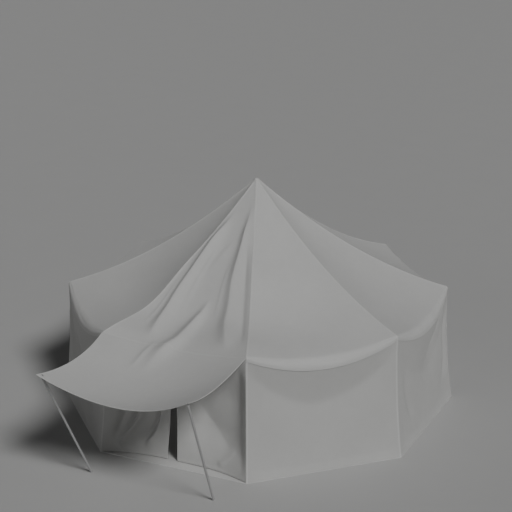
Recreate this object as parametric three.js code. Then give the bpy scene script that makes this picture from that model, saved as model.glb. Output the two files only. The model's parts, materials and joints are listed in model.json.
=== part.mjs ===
// An eight-sided canvas pavilion: one centre peak, eaves that sag and roll over between the corner
// poles, slack walls that flare to the ground, and a front awning on two leaning poles.
// Millimetres, +Z up. The entrance faces -Y. The origin is under the middle of the ground sheet.
import * as THREE from "three";

// Driving dimensions of the plan
const SIDES = 8;
const EAVE_RADIUS = 3200; // centre to an eave corner
const BASE_RADIUS = 3345; // centre to a foot corner
const EAVE_HEIGHT = 2000; // ground to an eave corner
const HALF_TURN = Math.PI / SIDES; // half the angle that one side takes up
const HALF_SIDE_SHARE = Math.sin(HALF_TURN);
const APOTHEM_SHARE = Math.cos(HALF_TURN);

// A ridge climbs from the eave as RISE * s + CURVE * s * s, where s goes from 0 to 1 at the peak
const RIDGE_RISE = 912;
const RIDGE_CURVE = 954;
const FRONT_RIDGE_DIP = 112; // how far the awning's pull bends the two front ridges down
const DIP_START = 0.45; // shares of the ridge's run from the peak
const DIP_END = 0.97;

// How the cloth hangs between two corners, at the middle of an eave. The plain eaves bulge out.
// The sag's power says how it grows from the peak to the eave.
const EAVE_HANG = { sag: 177, drawIn: -90, sagPower: 0.95 };
const FRONT_EAVE_HANG = { sag: 128, drawIn: 96, sagPower: 1.6 };
const DRAW_IN_POWER = 3;

// The roll of a plain eave, which takes the cloth from its pitch to plumb
const CORNER_ROLL = 50; // its radius at the corners
const MIDDLE_ROLL = 170; // and at the middle of a side
const NEAR_EAVE = 0.985; // the share of the run that the pitch is taken over

// The walls, whose slack cloth hangs in under the roll. Their heights are shares, from 0 at the foot.
const WALL_SWEEP = 2.2; // how late the wall leaves plumb on its way down to the ground
const WALL_SLACK = 105;
const SLACK_LOW = 0.6; // where the slack hangs in farthest, at the middle of a wall
const SLACK_HIGH = 0.89; // and at its corners
const SLACK_POWER = 1.6; // how the slack grows from the foot
const SLACK_SOFTNESS = 0.16;
const WALL_ROWS = 10;

// Cloth and seams
const CANVAS = 10; // stands in for a single layer of canvas
const GROUND_SHEET = 10;
const SEAM_GAP = 0.3; // between pieces that are sewn, or that rest on each other
const PEAK_CAP_RADIUS = 32;
const PEAK_CAP_RISE = 16;
const GORE_START = (PEAK_CAP_RADIUS + SEAM_GAP) / (EAVE_RADIUS * APOTHEM_SHARE);

// The entrance: two flaps that hang from the front eave and meet off its middle
const DOOR_SPLIT = -0.05; // as a share of half the front side
const DOOR_FLAPS = [
  { name: "door_flap_left", corner: -1, splitShift: -5, freeFootX: -186, returnShare: 0.5 },
  { name: "door_flap_right", corner: 1, splitShift: 5, freeFootX: -10, returnShare: 0.14 },
];
const FLAP_SET_BACK = 208; // ground sheet that shows in front of the flaps
const SET_BACK_POWER = 2.5; // how late the flaps' foot leaves the corner
const FLAP_RECESS = 130; // how much farther in they hang between their top and their foot
const RECESS_FROM_TOP = 0.4; // the share of their height over which the recess grows from the top
const RECESS_FROM_FOOT = 0.35; // and from the foot
const SPLIT_RECESS_SHARE = 0.25; // the share of the recess that reaches the split
const RECESS_FROM_SPLIT = 0.45; // the share of half the front over which it grows from there

// The awning: its two outer corners, and how its three free edges hang
const AWNING_CORNERS = [new THREE.Vector3(-1235, -4762, 1990), new THREE.Vector3(1200, -4711, 1990)];
const AWNING_SIDE_SAGS = [105, 160];
const AWNING_SIDE_DRAW_IN = 60;
const AWNING_FRONT_SAG = 378;
const AWNING_FRONT_DRAW_IN = 176;

// Poles, given by the middle of the foot and the way they lean
const CENTRE_POLE_RADIUS = 30;
const CORNER_POLE_RADIUS = 20;
const CORNER_POLE_INSET = 55; // from the eave corner in to the pole's middle
const AWNING_POLE_RADIUS = 18;
const AWNING_POLES = [
  { name: "awning_pole_left", foot: [-1046, -3728], head: [-1178, -4685, 1910] },
  { name: "awning_pole_right", foot: [1053, -3731], head: [1142, -4624, 1910] },
];
const POLE_SEGMENTS = 16;

// How finely the cloth solids are cut
const COLUMNS = 8; // across a side, or across each half of the front
const NEAR_CORNER = 0.94; // the front's extra place near each corner
const ROOF_ROWS = 9;
const ROLL_ROWS = 4;
const FLAP_ROWS = 7;
const AWNING_ROWS = 9;
const CAP_RINGS = 6;

const CANVAS_FINISH = new THREE.MeshStandardMaterial({ color: 0xb4b4b1, roughness: 0.9, metalness: 0 });
const SHEET_FINISH = new THREE.MeshStandardMaterial({ color: 0xa9a9a6, roughness: 0.8, metalness: 0 });
const POLE_FINISH = new THREE.MeshStandardMaterial({ color: 0xc3c3c3, roughness: 0.45 });

const SIDE_NAMES = ["front", "front_right", "right", "back_right", "back", "back_left", "left", "front_left"];
const CORNER_NAMES = [
  "front_right",
  "right_front",
  "right_back",
  "back_right",
  "back_left",
  "left_back",
  "left_front",
  "front_left",
];

const { clamp, lerp, smoothstep } = THREE.MathUtils;
const QUARTER_TURN = Math.PI / 2;
const sideAngle = (side) => side * 2 * HALF_TURN;
const cornerAngle = (corner) => (2 * corner + 1) * HALF_TURN;
const isFront = (side) => side === 0;
const everySide = [...Array(SIDES).keys()];

// Evenly spaced numbers from one value to another, both ends included.
function steps(from, to, count) {
  return Array.from({ length: count + 1 }, (_, i) => lerp(from, to, i / count));
}

// The unit vector straight out of the tent, at an angle counted from the front.
function outward(angle) {
  return new THREE.Vector3(Math.sin(angle), -Math.cos(angle), 0);
}

// A point over a side, by its distance out from the centre and its place along the side.
function overSide(side, out, along) {
  const angle = sideAngle(side);
  const point = outward(angle).multiplyScalar(out);
  return point.addScaledVector(outward(angle + QUARTER_TURN), along);
}

// A point moved in towards the axis and down, by distances that fit the eave.
function movedIn(point, inwards, down) {
  const share = 1 - inwards / (EAVE_RADIUS * APOTHEM_SHARE);
  return new THREE.Vector3(point.x * share, point.y * share, point.z - down);
}

// Half the width of a side at a corner radius, less its share of the seam.
function halfWidth(radius) {
  return radius * HALF_SIDE_SHARE - SEAM_GAP / 2;
}

// Height of a ridge at a share of its run from the peak.
function ridgeHeight(corner, run) {
  const s = 1 - run;
  const plain = EAVE_HEIGHT + RIDGE_RISE * s + RIDGE_CURVE * s * s;
  const besideFront = corner === 0 || corner === SIDES - 1;
  const share = clamp((run - DIP_START) / (DIP_END - DIP_START), 0, 1);
  return besideFront ? plain - FRONT_RIDGE_DIP * Math.sin(Math.PI * share) ** 2 : plain;
}

// How much of a side's sag reaches a place across it: v is -1 and 1 at the two ridges.
function belly(v) {
  return Math.max(0, 1 - v * v);
}

// How far the middle of a side is drawn in from the straight, at a share of its run.
function drawnIn(side, run, v) {
  const { drawIn } = isFront(side) ? FRONT_EAVE_HANG : EAVE_HANG;
  return drawIn * run ** DRAW_IN_POWER * belly(v);
}

// The roof's section over a side, without its roll: run goes from 0 at the peak to 1 at the eave.
function roofSection(side, run, v) {
  const { sag, sagPower } = isFront(side) ? FRONT_EAVE_HANG : EAVE_HANG;
  const leftRidge = ridgeHeight((side + SIDES - 1) % SIDES, run);
  const rightRidge = ridgeHeight(side, run);
  const height = lerp(leftRidge, rightRidge, (v + 1) / 2) - sag * run ** sagPower * belly(v);
  return { out: run * EAVE_RADIUS * APOTHEM_SHARE - drawnIn(side, run, v), height };
}

// A point of the roof over one side, without its roll.
function roofPoint(side, run, v) {
  const { out, height } = roofSection(side, run, v);
  return overSide(side, out, v * halfWidth(run * EAVE_RADIUS)).setZ(height);
}

// A point of a gore that rolls over the eave. The stage is 0 at the gore's start, 1 where the roll
// begins and 2 where the cloth is plumb.
function rolledPoint(side, stage, v) {
  const edge = roofSection(side, 1, v);
  const near = roofSection(side, NEAR_EAVE, v);
  const pitch = Math.atan2(near.height - edge.height, edge.out - near.out);
  const radius = lerp(CORNER_ROLL, MIDDLE_ROLL, belly(v));
  const cutBack = radius * Math.tan((QUARTER_TURN - pitch) / 2);
  const slopeLength = Math.hypot(edge.out - near.out, near.height - edge.height) / (1 - NEAR_EAVE);
  const run = lerp(GORE_START, 1 - cutBack / slopeLength, Math.min(stage, 1));
  const section = roofSection(side, run, v);
  const turn = lerp(pitch, QUARTER_TURN, Math.max(stage - 1, 0));
  const out = section.out + radius * (Math.sin(turn) - Math.sin(pitch));
  const height = section.height - radius * (Math.cos(pitch) - Math.cos(turn));
  const straightOut = out + drawnIn(side, run, v);
  return overSide(side, out, v * halfWidth(straightOut / APOTHEM_SHARE)).setZ(height);
}

// The top edge of a wall, under the end of the roll, or of a flap, under the front eave.
function wallTop(side, v) {
  if (isFront(side)) return movedIn(roofPoint(side, 1, v), 0, CANVAS + SEAM_GAP);
  return movedIn(rolledPoint(side, 2, v), 0, SEAM_GAP);
}

// The straight line between two foot corners, on the ground sheet.
function wallFoot(side, v) {
  const point = overSide(side, BASE_RADIUS * APOTHEM_SHARE, v * halfWidth(BASE_RADIUS));
  return point.setZ(GROUND_SHEET + SEAM_GAP);
}

// A point of cloth that drops plumb from its top and sweeps out to its foot: w is 0 at the foot.
function hangingPoint(top, foot, w) {
  const point = foot.clone().lerp(top, 1 - (1 - w) ** WALL_SWEEP);
  return point.setZ(lerp(foot.z, top.z, w));
}

// How far a wall's slack cloth hangs in at a place on it.
function slackAt(v, w) {
  const farthest = lerp(SLACK_LOW, SLACK_HIGH, v * v);
  const fromTop = (1 - w) / (1 - farthest);
  const fromFoot = (w / farthest) ** SLACK_POWER;
  const share = (fromTop + fromFoot - Math.hypot(fromTop - fromFoot, SLACK_SOFTNESS)) / 2;
  return WALL_SLACK * Math.max(share, 0) * belly(v);
}

// A point of a wall.
function wallPoint(side, v, w) {
  return movedIn(hangingPoint(wallTop(side, v), wallFoot(side, v), w), slackAt(v, w), 0);
}

// How much farther in a door flap hangs at a place on it, once it has turned in from its corner.
function recessAt(flap, v, w) {
  const fromCorner = smoothstep(1 - Math.abs(v), 0, flap.returnShare);
  const fromSplit = lerp(SPLIT_RECESS_SHARE, 1, smoothstep(Math.abs(v - DOOR_SPLIT), 0, RECESS_FROM_SPLIT));
  const upright = smoothstep(1 - w, 0, RECESS_FROM_TOP) * smoothstep(w, 0, RECESS_FROM_FOOT);
  return FLAP_RECESS * fromCorner * fromSplit * upright;
}

// A point of a door flap. Its foot is drawn back from the tent's foot, and its free edge runs straight
// from the top of the split to its free corner on the ground.
function flapPoint(flap, v, w) {
  const foot = wallFoot(0, v);
  foot.y += FLAP_SET_BACK * (1 - Math.abs(v) ** SET_BACK_POWER);
  const point = hangingPoint(wallTop(0, v), foot, w);
  point.y += recessAt(flap, v, w);
  const reach = (v - flap.corner) / (DOOR_SPLIT - flap.corner); // 1 at the free edge
  const seamX = hangingPoint(wallTop(0, flap.corner), wallFoot(0, flap.corner), w).x;
  const freeX = lerp(flap.freeFootX, wallTop(0, DOOR_SPLIT).x, w);
  const atFreeEdge = v === DOOR_SPLIT;
  return point.setX(lerp(seamX, freeX, reach) + (atFreeEdge ? flap.splitShift * w : 0));
}

// The places across a side where its pieces have corners. The front's halves meet at the door's split,
// and have one more place near each corner, where the flaps turn in.
function columnPlaces(side) {
  if (!isFront(side)) return steps(-1, 1, COLUMNS);
  const left = steps(-NEAR_CORNER, DOOR_SPLIT, COLUMNS);
  const right = steps(DOOR_SPLIT, NEAR_CORNER, COLUMNS);
  return [-1, ...left, ...right.slice(1), 1];
}

// A point of an edge that hangs between two ends: at goes from 0 to 1, sag goes down and drawIn sideways.
function hangingEdge(from, to, at, sag, drawIn) {
  const depth = 4 * at * (1 - at);
  return from.clone().lerp(to, at).addScaledVector(drawIn, depth).setZ(lerp(from.z, to.z, at) - sag * depth);
}

// A point of the awning, filled in between its four edges: across by v, outwards by out from 0 to 1.
function awningPoint(v, out) {
  const across = (v + 1) / 2;
  const eaveEdge = (place) => roofPoint(0, 1, place).add(new THREE.Vector3(0, -SEAM_GAP, 0));
  const backCorners = [eaveEdge(-1), eaveEdge(1)];
  const inwards = [new THREE.Vector3(AWNING_SIDE_DRAW_IN, 0, 0), new THREE.Vector3(-AWNING_SIDE_DRAW_IN, 0, 0)];
  const [left, right] = [0, 1].map((end) =>
    hangingEdge(backCorners[end], AWNING_CORNERS[end], out, AWNING_SIDE_SAGS[end], inwards[end]),
  );
  const frontDrawIn = new THREE.Vector3(0, AWNING_FRONT_DRAW_IN, 0);
  const front = hangingEdge(AWNING_CORNERS[0], AWNING_CORNERS[1], across, AWNING_FRONT_SAG, frontDrawIn);
  const point = eaveEdge(v).lerp(front, out).add(left.lerp(right, across));
  const backChord = backCorners[0].lerp(backCorners[1], across);
  const frontChord = AWNING_CORNERS[0].clone().lerp(AWNING_CORNERS[1], across);
  return point.sub(backChord.lerp(frontChord, out));
}

// A closed geometry from a grid of outer points and the matching grid of inner points.
// The rows run downwards and the columns from left to right, seen from outside.
function closedSheet(outer, inner) {
  const rows = outer.length;
  const columns = outer[0].length;
  const index = [];
  const at = (layer, row, column) => (layer * rows + row) * columns + column;
  const quad = (a, b, c, d) => index.push(a, b, c, a, c, d);
  for (let r = 0; r < rows - 1; r += 1) {
    for (let c = 0; c < columns - 1; c += 1) {
      quad(at(0, r, c), at(0, r + 1, c), at(0, r + 1, c + 1), at(0, r, c + 1));
      quad(at(1, r, c), at(1, r, c + 1), at(1, r + 1, c + 1), at(1, r + 1, c));
    }
  }
  const right = columns - 1;
  const foot = rows - 1;
  for (let r = 0; r < foot; r += 1) {
    quad(at(0, r, 0), at(1, r, 0), at(1, r + 1, 0), at(0, r + 1, 0));
    quad(at(0, r, right), at(0, r + 1, right), at(1, r + 1, right), at(1, r, right));
  }
  for (let c = 0; c < right; c += 1) {
    quad(at(0, 0, c), at(0, 0, c + 1), at(1, 0, c + 1), at(1, 0, c));
    quad(at(0, foot, c), at(1, foot, c), at(1, foot, c + 1), at(0, foot, c + 1));
  }
  const positions = [...outer, ...inner].flat().flatMap((point) => point.toArray());
  const geometry = new THREE.BufferGeometry();
  geometry.setAttribute("position", new THREE.Float32BufferAttribute(positions, 3));
  geometry.setIndex(index);
  geometry.computeVertexNormals();
  return geometry;
}

function namedMesh(name, geometry, material) {
  const mesh = new THREE.Mesh(geometry, material);
  mesh.name = name;
  return mesh;
}

// A layer of canvas under a grid of points. Its thickness goes straight down in a row whose turn is 0,
// and in towards the axis where it is a quarter turn, so neighbours meet on upright radial planes.
function canvas(name, grid, turnOfRow) {
  const inner = grid.map((row, i) => {
    const turn = turnOfRow(i);
    return row.map((point) => movedIn(point, CANVAS * Math.sin(turn), CANVAS * Math.cos(turn)));
  });
  return namedMesh(name, closedSheet(grid, inner), CANVAS_FINISH);
}

const lyingCloth = (name, grid) => canvas(name, grid, () => 0);
const hangingCloth = (name, grid) => canvas(name, grid, () => QUARTER_TURN);

// The front gore, which runs on into the awning.
function frontGore() {
  const grid = steps(GORE_START, 1, ROOF_ROWS).map((run) => columnPlaces(0).map((v) => roofPoint(0, run, v)));
  return lyingCloth("roof_" + SIDE_NAMES[0], grid);
}

// A gore that rolls over its eave.
function plainGore(side) {
  const stages = [...steps(0, 1, ROOF_ROWS), ...steps(1, 2, ROLL_ROWS).slice(1)];
  const grid = stages.map((stage) => columnPlaces(side).map((v) => rolledPoint(side, stage, v)));
  return canvas("roof_" + SIDE_NAMES[side], grid, (i) => QUARTER_TURN * Math.max(0, stages[i] - 1));
}

function wallPanel(side) {
  const grid = steps(1, 0, WALL_ROWS).map((w) => columnPlaces(side).map((v) => wallPoint(side, v, w)));
  return hangingCloth("wall_" + SIDE_NAMES[side], grid);
}

function doorFlap(flap) {
  const places = columnPlaces(0).filter((v) => (v - DOOR_SPLIT) * flap.corner >= 0);
  const grid = steps(1, 0, FLAP_ROWS).map((w) => places.map((v) => flapPoint(flap, v, w)));
  return hangingCloth(flap.name, grid);
}

function awning() {
  const grid = steps(0, 1, AWNING_ROWS).map((out) => columnPlaces(0).map((v) => awningPoint(v, out)));
  return lyingCloth("awning", grid);
}

// The round patch of doubled canvas over the top of the centre pole.
function peakCap() {
  const rim = roofPoint(1, PEAK_CAP_RADIUS / EAVE_RADIUS, 1).z;
  const dome = steps(0, 1, CAP_RINGS).map((share) => {
    const height = rim + PEAK_CAP_RISE * Math.cos(share * QUARTER_TURN);
    return new THREE.Vector2(PEAK_CAP_RADIUS * share, height);
  });
  const underside = dome.map((point) => new THREE.Vector2(point.x, point.y - CANVAS));
  const profile = [...underside, ...dome.reverse()];
  const geometry = new THREE.LatheGeometry(profile, 2 * POLE_SEGMENTS);
  geometry.rotateX(QUARTER_TURN);
  return namedMesh("peak_cap", geometry, CANVAS_FINISH);
}

function groundSheet() {
  const corners = everySide.map((i) => {
    const corner = outward(cornerAngle(i)).multiplyScalar(BASE_RADIUS);
    return new THREE.Vector2(corner.x, corner.y);
  });
  const geometry = new THREE.ExtrudeGeometry(new THREE.Shape(corners), {
    depth: GROUND_SHEET,
    bevelEnabled: false,
  });
  return namedMesh("ground_sheet", geometry, SHEET_FINISH);
}

// Slides the ring at a pole's foot along the pole, onto the level that it stands on.
function levelFoot(geometry, foot, lean, length) {
  const position = geometry.getAttribute("position");
  const point = new THREE.Vector3();
  for (let i = 0; i < position.count; i += 1) {
    point.fromBufferAttribute(position, i);
    const atFoot = point.clone().sub(foot).dot(lean) < length / 2;
    if (atFoot) point.addScaledVector(lean, (foot.z - point.z) / lean.z);
    position.setXYZ(i, point.x, point.y, point.z);
  }
}

// A round pole that leans from its foot towards its head, and ends just short of the cloth over it.
function poleUnder(name, foot, head, radius, cloth) {
  const lean = head.clone().sub(foot).normalize();
  const turn = new THREE.Quaternion().setFromUnitVectors(new THREE.Vector3(0, 0, 1), lean);
  const rim = steps(0, 2 * Math.PI, POLE_SEGMENTS).map((angle) =>
    new THREE.Vector3(radius * Math.cos(angle), radius * Math.sin(angle), 0).applyQuaternion(turn).add(foot),
  );
  const reaches = [foot, ...rim].flatMap((start) =>
    new THREE.Raycaster(start, lean).intersectObjects(cloth).map((hit) => hit.distance),
  );
  const length = Math.min(...reaches) - SEAM_GAP;
  const geometry = new THREE.CylinderGeometry(radius, radius, length, POLE_SEGMENTS);
  geometry.rotateX(QUARTER_TURN);
  geometry.translate(0, 0, length / 2);
  geometry.applyQuaternion(turn);
  geometry.translate(foot.x, foot.y, foot.z);
  levelFoot(geometry, foot, lean, length);
  return namedMesh(name, geometry, POLE_FINISH);
}

const roofs = [frontGore(), ...everySide.slice(1).map(plainGore)];
const walls = everySide.slice(1).map(wallPanel);
const awningSheet = awning();
const cap = peakCap();

const centrePole = poleUnder(
  "centre_pole",
  new THREE.Vector3(0, 0, GROUND_SHEET + SEAM_GAP),
  new THREE.Vector3(0, 0, EAVE_HEIGHT),
  CENTRE_POLE_RADIUS,
  [cap, ...roofs],
);
const cornerPoles = CORNER_NAMES.map((name, corner) => {
  const foot = outward(cornerAngle(corner)).multiplyScalar(EAVE_RADIUS - CORNER_POLE_INSET);
  foot.z = GROUND_SHEET + SEAM_GAP;
  return poleUnder("corner_pole_" + name, foot, foot.clone().setZ(EAVE_HEIGHT), CORNER_POLE_RADIUS, roofs);
});
const awningPoles = AWNING_POLES.map(({ name, foot, head }) =>
  poleUnder(name, new THREE.Vector3(...foot, 0), new THREE.Vector3(...head), AWNING_POLE_RADIUS, [awningSheet]),
);

const tent = new THREE.Group();
tent.add(groundSheet(), centrePole, ...cornerPoles, ...roofs, cap, ...walls, awningSheet, ...awningPoles);
tent.add(...DOOR_FLAPS.map(doorFlap));

export default tent;
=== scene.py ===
"""Dresses the frame of an eight-sided canvas pavilion.

The frame holds the plain solids. This script draws the cloth as it is sewn and pitched: roof gores that sag
between their ridges and roll over the eave, walls that hang from the roll and flare to the ground sheet, a
split door under an awning, and the tapes, hems and stitching along their edges.
Metres, +Z up. The entrance faces -Y, and the origin is under the middle of the ground sheet.
"""
from __future__ import annotations

import json
import logging
import math
from dataclasses import dataclass, field
from enum import Enum
from typing import Callable, Sequence

import bpy
import numpy as np
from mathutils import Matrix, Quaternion, Vector

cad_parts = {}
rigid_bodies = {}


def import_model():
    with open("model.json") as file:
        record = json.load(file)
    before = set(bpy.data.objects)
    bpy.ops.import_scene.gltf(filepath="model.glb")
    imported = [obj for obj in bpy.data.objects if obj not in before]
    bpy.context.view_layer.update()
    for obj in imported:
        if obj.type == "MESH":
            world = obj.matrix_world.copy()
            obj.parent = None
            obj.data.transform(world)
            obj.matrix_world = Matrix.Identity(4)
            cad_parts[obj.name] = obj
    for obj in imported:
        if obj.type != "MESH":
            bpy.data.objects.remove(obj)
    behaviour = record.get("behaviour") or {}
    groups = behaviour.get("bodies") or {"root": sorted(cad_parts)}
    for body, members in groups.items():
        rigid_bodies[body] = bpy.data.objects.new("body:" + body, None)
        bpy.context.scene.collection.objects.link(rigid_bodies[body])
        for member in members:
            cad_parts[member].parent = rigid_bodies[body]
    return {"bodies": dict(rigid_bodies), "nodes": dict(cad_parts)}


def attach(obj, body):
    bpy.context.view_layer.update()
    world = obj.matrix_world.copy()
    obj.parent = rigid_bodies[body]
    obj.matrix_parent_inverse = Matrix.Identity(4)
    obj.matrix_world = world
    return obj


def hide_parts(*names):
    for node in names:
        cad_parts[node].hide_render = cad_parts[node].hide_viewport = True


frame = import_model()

for leftover in set(bpy.data.objects) - {*frame["nodes"].values(), *frame["bodies"].values()}:
    bpy.data.objects.remove(leftover)
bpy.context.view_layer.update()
BODY = "root"

FRONT = 0
SIDE_NAMES = ("front", "front_right", "right", "back_right", "back", "back_left", "left", "front_left")
CORNER_NAMES = (
    "front_right", "right_front", "right_back", "back_right",
    "back_left", "left_back", "left_front", "front_left",
)
CANVAS_THICKNESS = 0.002  # of one layer, with the fullness of its weave
TAPE_THICKNESS = 0.0015
HEM_FALL = 0.004  # the width over which a hem's inner edge falls to the plain cloth
POLE_HEADS = {"left": (-1.178, -4.685), "right": (1.142, -4.624)}  # seen from above

Array = np.ndarray
Colour = tuple[float, float, float]
log = logging.getLogger("pavilion")


class Slot(Enum):
    """The record's material slots."""

    CANVAS = "canvas"
    GROUND_SHEET = "ground_sheet"
    POLE = "pole"


def mix(start: Array | float, end: Array | float, share: Array | float) -> Array | float:
    """Runs from start to end as share goes from 0 to 1."""
    return start + (end - start) * share


def ease(value: Array | float) -> Array:
    """Rises smoothly from 0 to 1 as value does, and is level outside that."""
    held = np.clip(value, 0.0, 1.0)
    return held * held * (3.0 - 2.0 * held)


def unit(vectors: Array) -> Array:
    """Gives vectors the length 1."""
    lengths = np.linalg.norm(vectors, axis=-1, keepdims=True)
    return vectors / np.maximum(lengths, 1e-12)


def column(values: Sequence[float]) -> Array:
    """Stands values in a column, one for each row of a grid."""
    return np.asarray(values, dtype=float).reshape(-1, 1)


def circle(count: int) -> Array:
    """Points round a level circle of radius 1."""
    angle = np.linspace(0.0, 2 * math.pi, count, endpoint=False)
    return np.stack([np.cos(angle), np.sin(angle), np.zeros_like(angle)], axis=-1)


# The plan of the tent


@dataclass(frozen=True)
class Hang:
    """How far the cloth of a side hangs between its corners, at the middle of the eave."""

    sag: float
    draw_in: float
    sag_power: float  # how the sag grows from the peak to the eave


@dataclass(frozen=True)
class Crumple:
    """How unevenly the cloth rolls over an eave: gathers across it and a crease along it."""

    gather_height: float = 0.002
    gather_waves: tuple[tuple[float, float], ...] = ((1.0, 0.59), (0.8, 0.34), (0.5, 0.19))  # share, length
    gather_start: float = 0.8  # the stage down the cloth, as in rolled_roof
    gather_grow: float = 0.6
    gather_fade: float = 0.5
    crease_depth: float = 0.006
    crease_stage: float = 1.45
    crease_wander: float = 0.16
    crease_width: float = 0.13
    held_share: float = 0.08  # the part of a side beside each corner where the cloth lies even

    def lift(self, side: int, stage: Array, v: Array, half_width: float) -> Array:
        """Works out how far the cloth stands out from an even roll.

        Args:
            side: The side, which has its own pattern.
            stage: The stages of the points.
            v: Their places across.
            half_width: Half the side's width.

        Returns:
            The distances.
        """
        side_phase, wave_phase = 2.3, 1.7
        along = v * half_width
        gathers = sum(
            share * np.sin(2 * math.pi * along / length + (side_phase + order) * side + wave_phase * order)
            for order, (share, length) in enumerate(self.gather_waves)
        )
        gathers = self.gather_height * gathers * ease((stage - self.gather_start) / self.gather_grow)
        gathers = gathers * ease((2.0 - stage) / self.gather_fade)
        middle = self.crease_stage + self.crease_wander * np.sin(3.1 * v + side)
        crease = np.exp(-(((stage - middle) / self.crease_width) ** 2))
        crease = crease * (0.6 + 0.4 * np.sin(6.0 * v + 2.0 * side))
        return (gathers - self.crease_depth * crease) * ease((1.0 - np.abs(v)) / self.held_share)


@dataclass(frozen=True)
class TentPlan:
    """The driving sizes of the tent and the surfaces that follow from them."""

    sides: int = 8
    eave_radius: float = 3.2
    foot_radius: float = 3.345
    eave_height: float = 2.0
    ridge_rise: float = 0.912
    ridge_curve: float = 0.954
    front_dip: float = 0.112
    dip_start: float = 0.45
    dip_end: float = 0.97
    side_hang: Hang = Hang(sag=0.177, draw_in=-0.09, sag_power=0.95)
    front_hang: Hang = Hang(sag=0.128, draw_in=0.096, sag_power=1.6)
    draw_in_power: float = 3.0
    wall_sweep: float = 2.2
    corner_roll: float = 0.05
    middle_roll: float = 0.17
    crumple: Crumple = Crumple()
    sheet_top: float = 0.01

    @property
    def half_turn(self) -> float:
        """Half the angle that one side takes up."""
        return math.pi / self.sides

    @property
    def apothem_share(self) -> float:
        """The middle of a side's distance out, as a share of its corners'."""
        return math.cos(self.half_turn)

    @property
    def eave_half_width(self) -> float:
        """Half the width of a side at the eave."""
        return self.eave_radius * math.sin(self.half_turn)

    @property
    def foot_half_width(self) -> float:
        """Half the width of a side at the ground."""
        return self.foot_radius * math.sin(self.half_turn)

    def wall_half_width(self, w: Array) -> Array:
        """Half a wall's width at heights that are shares of the wall's own."""
        return mix(self.foot_half_width, self.eave_half_width, w)

    def outward(self, side: float) -> Array:
        """The level unit vector out of a side. A half more gives the corner after it."""
        angle = side * 2 * self.half_turn
        return np.array([math.sin(angle), -math.cos(angle), 0.0])

    def over_side(self, side: int, out: Array, along: Array, height: Array) -> Array:
        """Places points over a side.

        Args:
            side: The side, counted from the front.
            out: Distances out from the centre.
            along: Distances along the side from its middle, to the right as seen from outside.
            height: Heights over the ground.

        Returns:
            The points, with the coordinates in the last axis.
        """
        out, along, height = np.broadcast_arrays(out, along, height)
        quarter_round = side + self.sides / 4
        points = out[..., None] * self.outward(side) + along[..., None] * self.outward(quarter_round)
        points[..., 2] = height
        return points

    def hang_of(self, side: int) -> Hang:
        """How the cloth of a side hangs."""
        return self.front_hang if side == FRONT else self.side_hang

    def belly(self, v: Array) -> Array:
        """The share of a side's sag that reaches a place across it: v is -1 and 1 at the ridges."""
        return np.maximum(0.0, 1.0 - v * v)

    def ridge_height(self, corner: int, run: Array) -> Array:
        """Gives the height of a ridge.

        Args:
            corner: The corner that the ridge runs to, counted from the front's right one.
            run: Shares of the ridge's run, from 0 at the peak to 1 at the eave.

        Returns:
            The heights.
        """
        s = 1.0 - run
        plain = self.eave_height + self.ridge_rise * s + self.ridge_curve * s * s
        if corner not in (0, self.sides - 1):
            return plain
        share = np.clip((run - self.dip_start) / (self.dip_end - self.dip_start), 0.0, 1.0)
        return plain - self.front_dip * np.sin(math.pi * share) ** 2

    def roof_section(self, side: int, run: Array, v: Array) -> tuple[Array, Array]:
        """Gives the roof's section over a side, before it rolls over the eave.

        Args:
            side: The side, counted from the front.
            run: Shares of the run from the peak to the eave.
            v: Places across the side.

        Returns:
            Distances out from the centre, and heights.
        """
        hang = self.hang_of(side)
        out = run * self.eave_radius * self.apothem_share
        out = out - hang.draw_in * run**self.draw_in_power * self.belly(v)
        left = self.ridge_height((side - 1) % self.sides, run)
        right = self.ridge_height(side, run)
        height = mix(left, right, (v + 1.0) / 2.0) - hang.sag * run**hang.sag_power * self.belly(v)
        return out, height

    def along_at(self, side: int, out: Array, run: Array, v: Array) -> Array:
        """The distance along a side of a roof point at that distance out."""
        drawn = self.hang_of(side).draw_in * np.minimum(run, 1.0) ** self.draw_in_power * self.belly(v)
        return v * (out + drawn) * math.tan(self.half_turn)

    def roof(self, side: int, run: Array, v: Array) -> Array:
        """Points of the roof over a side, without its roll."""
        out, height = self.roof_section(side, run, v)
        return self.over_side(side, out, self.along_at(side, out, run, v), height)

    def rolled_roof(self, side: int, stage: Array, v: Array, start: float, hem: float) -> Array:
        """Gives points of a gore that rolls over the eave and ends in a hem.

        Args:
            side: The side, counted from the front.
            stage: 0 at the gore's start, 1 where the roll begins, 2 where the cloth is plumb, and 3 at
                the lower edge of the hem.
            v: Places across the side.
            start: The run at which the gore starts, beside the peak.
            hem: The hem's drop below the roll.

        Returns:
            The points.
        """
        edge_out, edge_height = self.roof_section(side, np.ones_like(v), v)
        near = 0.985
        near_out, near_height = self.roof_section(side, np.full_like(v, near), v)
        pitch = np.arctan2(near_height - edge_height, edge_out - near_out)
        radius = mix(self.corner_roll, self.middle_roll, self.belly(v))
        cut_back = radius * np.tan((math.pi / 2 - pitch) / 2)
        run_length = np.hypot(edge_out - near_out, near_height - edge_height) / (1.0 - near)
        roll_run = 1.0 - cut_back / run_length
        run = mix(start, roll_run, np.clip(stage, 0.0, 1.0))
        out, height = self.roof_section(side, run, v)
        turn = mix(pitch, math.pi / 2, np.clip(stage - 1.0, 0.0, 1.0))
        crumple = self.crumple.lift(side, stage, v, self.eave_half_width)
        out = out + radius * (np.sin(turn) - np.sin(pitch)) + crumple * np.sin(turn)
        height = height - radius * (np.cos(pitch) - np.cos(turn)) - hem * np.clip(stage - 2.0, 0.0, 1.0)
        height = height + crumple * np.cos(turn)
        return self.over_side(side, out, self.along_at(side, out, run, v), height)

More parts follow.
